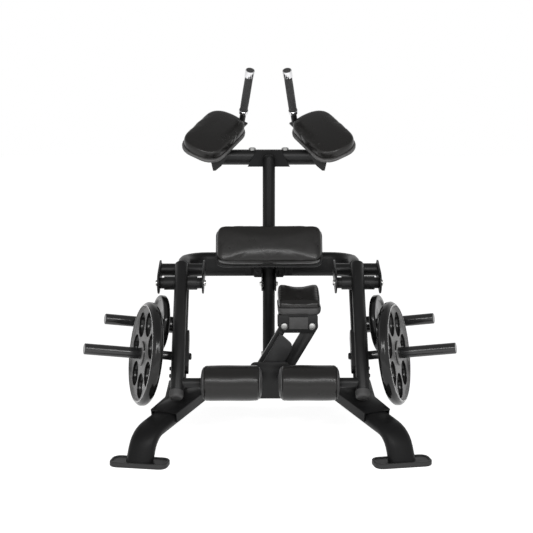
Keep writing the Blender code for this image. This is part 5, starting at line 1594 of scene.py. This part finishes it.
class MACHINE_OT_stage(PieceOperator, bpy.types.Operator):
    """Lay the pale floor and set the lamps, the surroundings and the camera"""

    bl_idname = "machine.stage"
    bl_label = "Stage"

    def execute(self, context):
        scene = context.scene
        look = scene.machine_stage
        self.floor(scene)
        self.surroundings(scene, look.sky)
        aim = (0.0, 0.1, 0.75)
        lamp("key", (0.0, -4.9, 3.3), aim, 4.8, 0.45, look.key_power)
        lamp("fill_left", (-1.9, -3.3, 2.2), aim, 0.35, 1.4, look.fill_power)
        lamp("fill_right", (1.9, -3.3, 2.2), aim, 0.35, 1.4, look.fill_power)
        data = bpy.data.cameras.new("front_view")
        data.sensor_width, data.lens = 36.0, look.lens
        data.clip_end = 60.0
        camera = bpy.data.objects.new("front_view", data)
        camera.location = look.camera_place
        camera.rotation_euler = Euler((look.camera_pitch, 0.0, look.camera_turn))
        scene.collection.objects.link(camera)
        scene.camera = camera
        scene.view_settings.view_transform = "Standard"
        return {"FINISHED"}

    @staticmethod
    def floor(scene):
        """Pale floor that keeps the machine's shadow."""
        bm = bmesh.new()
        bmesh.ops.create_grid(bm, x_segments=2, y_segments=2, size=16.0)
        floor = bpy.data.objects.new("studio_floor", mesh_of(bm, "studio_floor"))
        scene.collection.objects.link(floor)
        f = Finish("studio_floor")
        speckle = f.node("ShaderNodeTexNoise", (("Scale", 60.0), ("Detail", 5.0)))
        f.link(f.coords.outputs["Object"], speckle.inputs["Vector"])
        f.tint(speckle.outputs["Fac"], (0.80, 0.80, 0.80), (0.86, 0.86, 0.86))
        f.set(Roughness=0.8, Specular_IOR_Level=0.1, Emission_Color=(1.0, 1.0, 1.0, 1.0))
        seen = f.node("ShaderNodeMath", ((1, 0.90),), operation="MULTIPLY")
        f.link(shown_rays(f.tree), seen.inputs[0])
        f.link(seen.outputs["Value"], f.shader.inputs["Emission Strength"])
        floor.data.materials.append(f.material)

    @staticmethod
    def surroundings(scene, strength):
        """White to the camera, and in reflections up to a darker ceiling; soft light elsewhere."""
        world = bpy.data.worlds.new("studio")
        scene.world = world
        world.use_nodes = True
        tree = world.node_tree
        spread = remap(tree, 0.0, 1.0, strength, 1.0)
        tree.links.new(shown_rays(tree), spread.inputs["Value"])
        heading = shader_node(tree, "ShaderNodeTexCoord")
        height = shader_node(tree, "ShaderNodeSeparateXYZ")
        tree.links.new(heading.outputs["Generated"], height.inputs["Vector"])
        ceiling = remap(tree, 0.30, 0.75, 1.0, 0.38)
        tree.links.new(height.outputs["Z"], ceiling.inputs["Value"])
        seen = shader_node(tree, "ShaderNodeLightPath")
        shown = shader_node(tree, "ShaderNodeMath", operation="MAXIMUM")
        tree.links.new(ceiling.outputs["Result"], shown.inputs[0])
        tree.links.new(seen.outputs["Is Camera Ray"], shown.inputs[1])
        level = shader_node(tree, "ShaderNodeMath", operation="MULTIPLY")
        tree.links.new(spread.outputs["Result"], level.inputs[0])
        tree.links.new(shown.outputs[0], level.inputs[1])
        ground = tree.nodes["Background"]
        ground.inputs["Color"].default_value = (1.0, 1.0, 1.0, 1.0)
        tree.links.new(level.outputs[0], ground.inputs["Strength"])


# ---------------------------------------------------------------- panel and registration

STEPS = (MACHINE_OT_looks, MACHINE_OT_steelwork, MACHINE_OT_small_parts, MACHINE_OT_thigh_pad,
         MACHINE_OT_elbow_pads, MACHINE_OT_knee_pad, MACHINE_OT_rollers, MACHINE_OT_weight_plates,
         MACHINE_OT_handles, MACHINE_OT_bumpers, MACHINE_OT_knee_base, MACHINE_OT_fasteners,
         MACHINE_OT_welds, MACHINE_OT_tube_plugs, MACHINE_OT_stage)
SETTINGS = {"machine_paint": PaintLook, "machine_pads": PadLook, "machine_plates": PlateSizes,
            "machine_fasteners": FastenerSizes, "machine_stage": StageLook}


class MACHINE_PT_build(bpy.types.Panel):
    """Steps and settings of the machine"""

    bl_label = "Machine"
    bl_idname = "MACHINE_PT_build"
    bl_space_type = "VIEW_3D"
    bl_region_type = "UI"
    bl_category = "Machine"

    def draw(self, context):
        column = self.layout.column(align=True)
        for step in STEPS:
            column.operator(step.bl_idname)
        for label, kind in SETTINGS.items():
            box = self.layout.box()
            for item in kind.__annotations__:
                box.prop(getattr(context.scene, label), item)


def register():
    """Registers the classes and the scene's settings."""
    for kind in (*SETTINGS.values(), *STEPS, MACHINE_PT_build):
        bpy.utils.register_class(kind)
    for label, kind in SETTINGS.items():
        setattr(bpy.types.Scene, label, PointerProperty(type=kind))


def unregister():
    """Takes the scene's settings and the classes away."""
    for label in SETTINGS:
        delattr(bpy.types.Scene, label)
    for kind in (MACHINE_PT_build, *reversed(STEPS), *reversed(SETTINGS.values())):
        bpy.utils.unregister_class(kind)


def main():
    """Runs every step in order."""
    register()
    for step in STEPS:
        group, name = step.bl_idname.split(".")
        if getattr(getattr(bpy.ops, group), name)() != {"FINISHED"}:
            raise RuntimeError(step.bl_label + " was not finished")


if __name__ == "__main__":
    main()
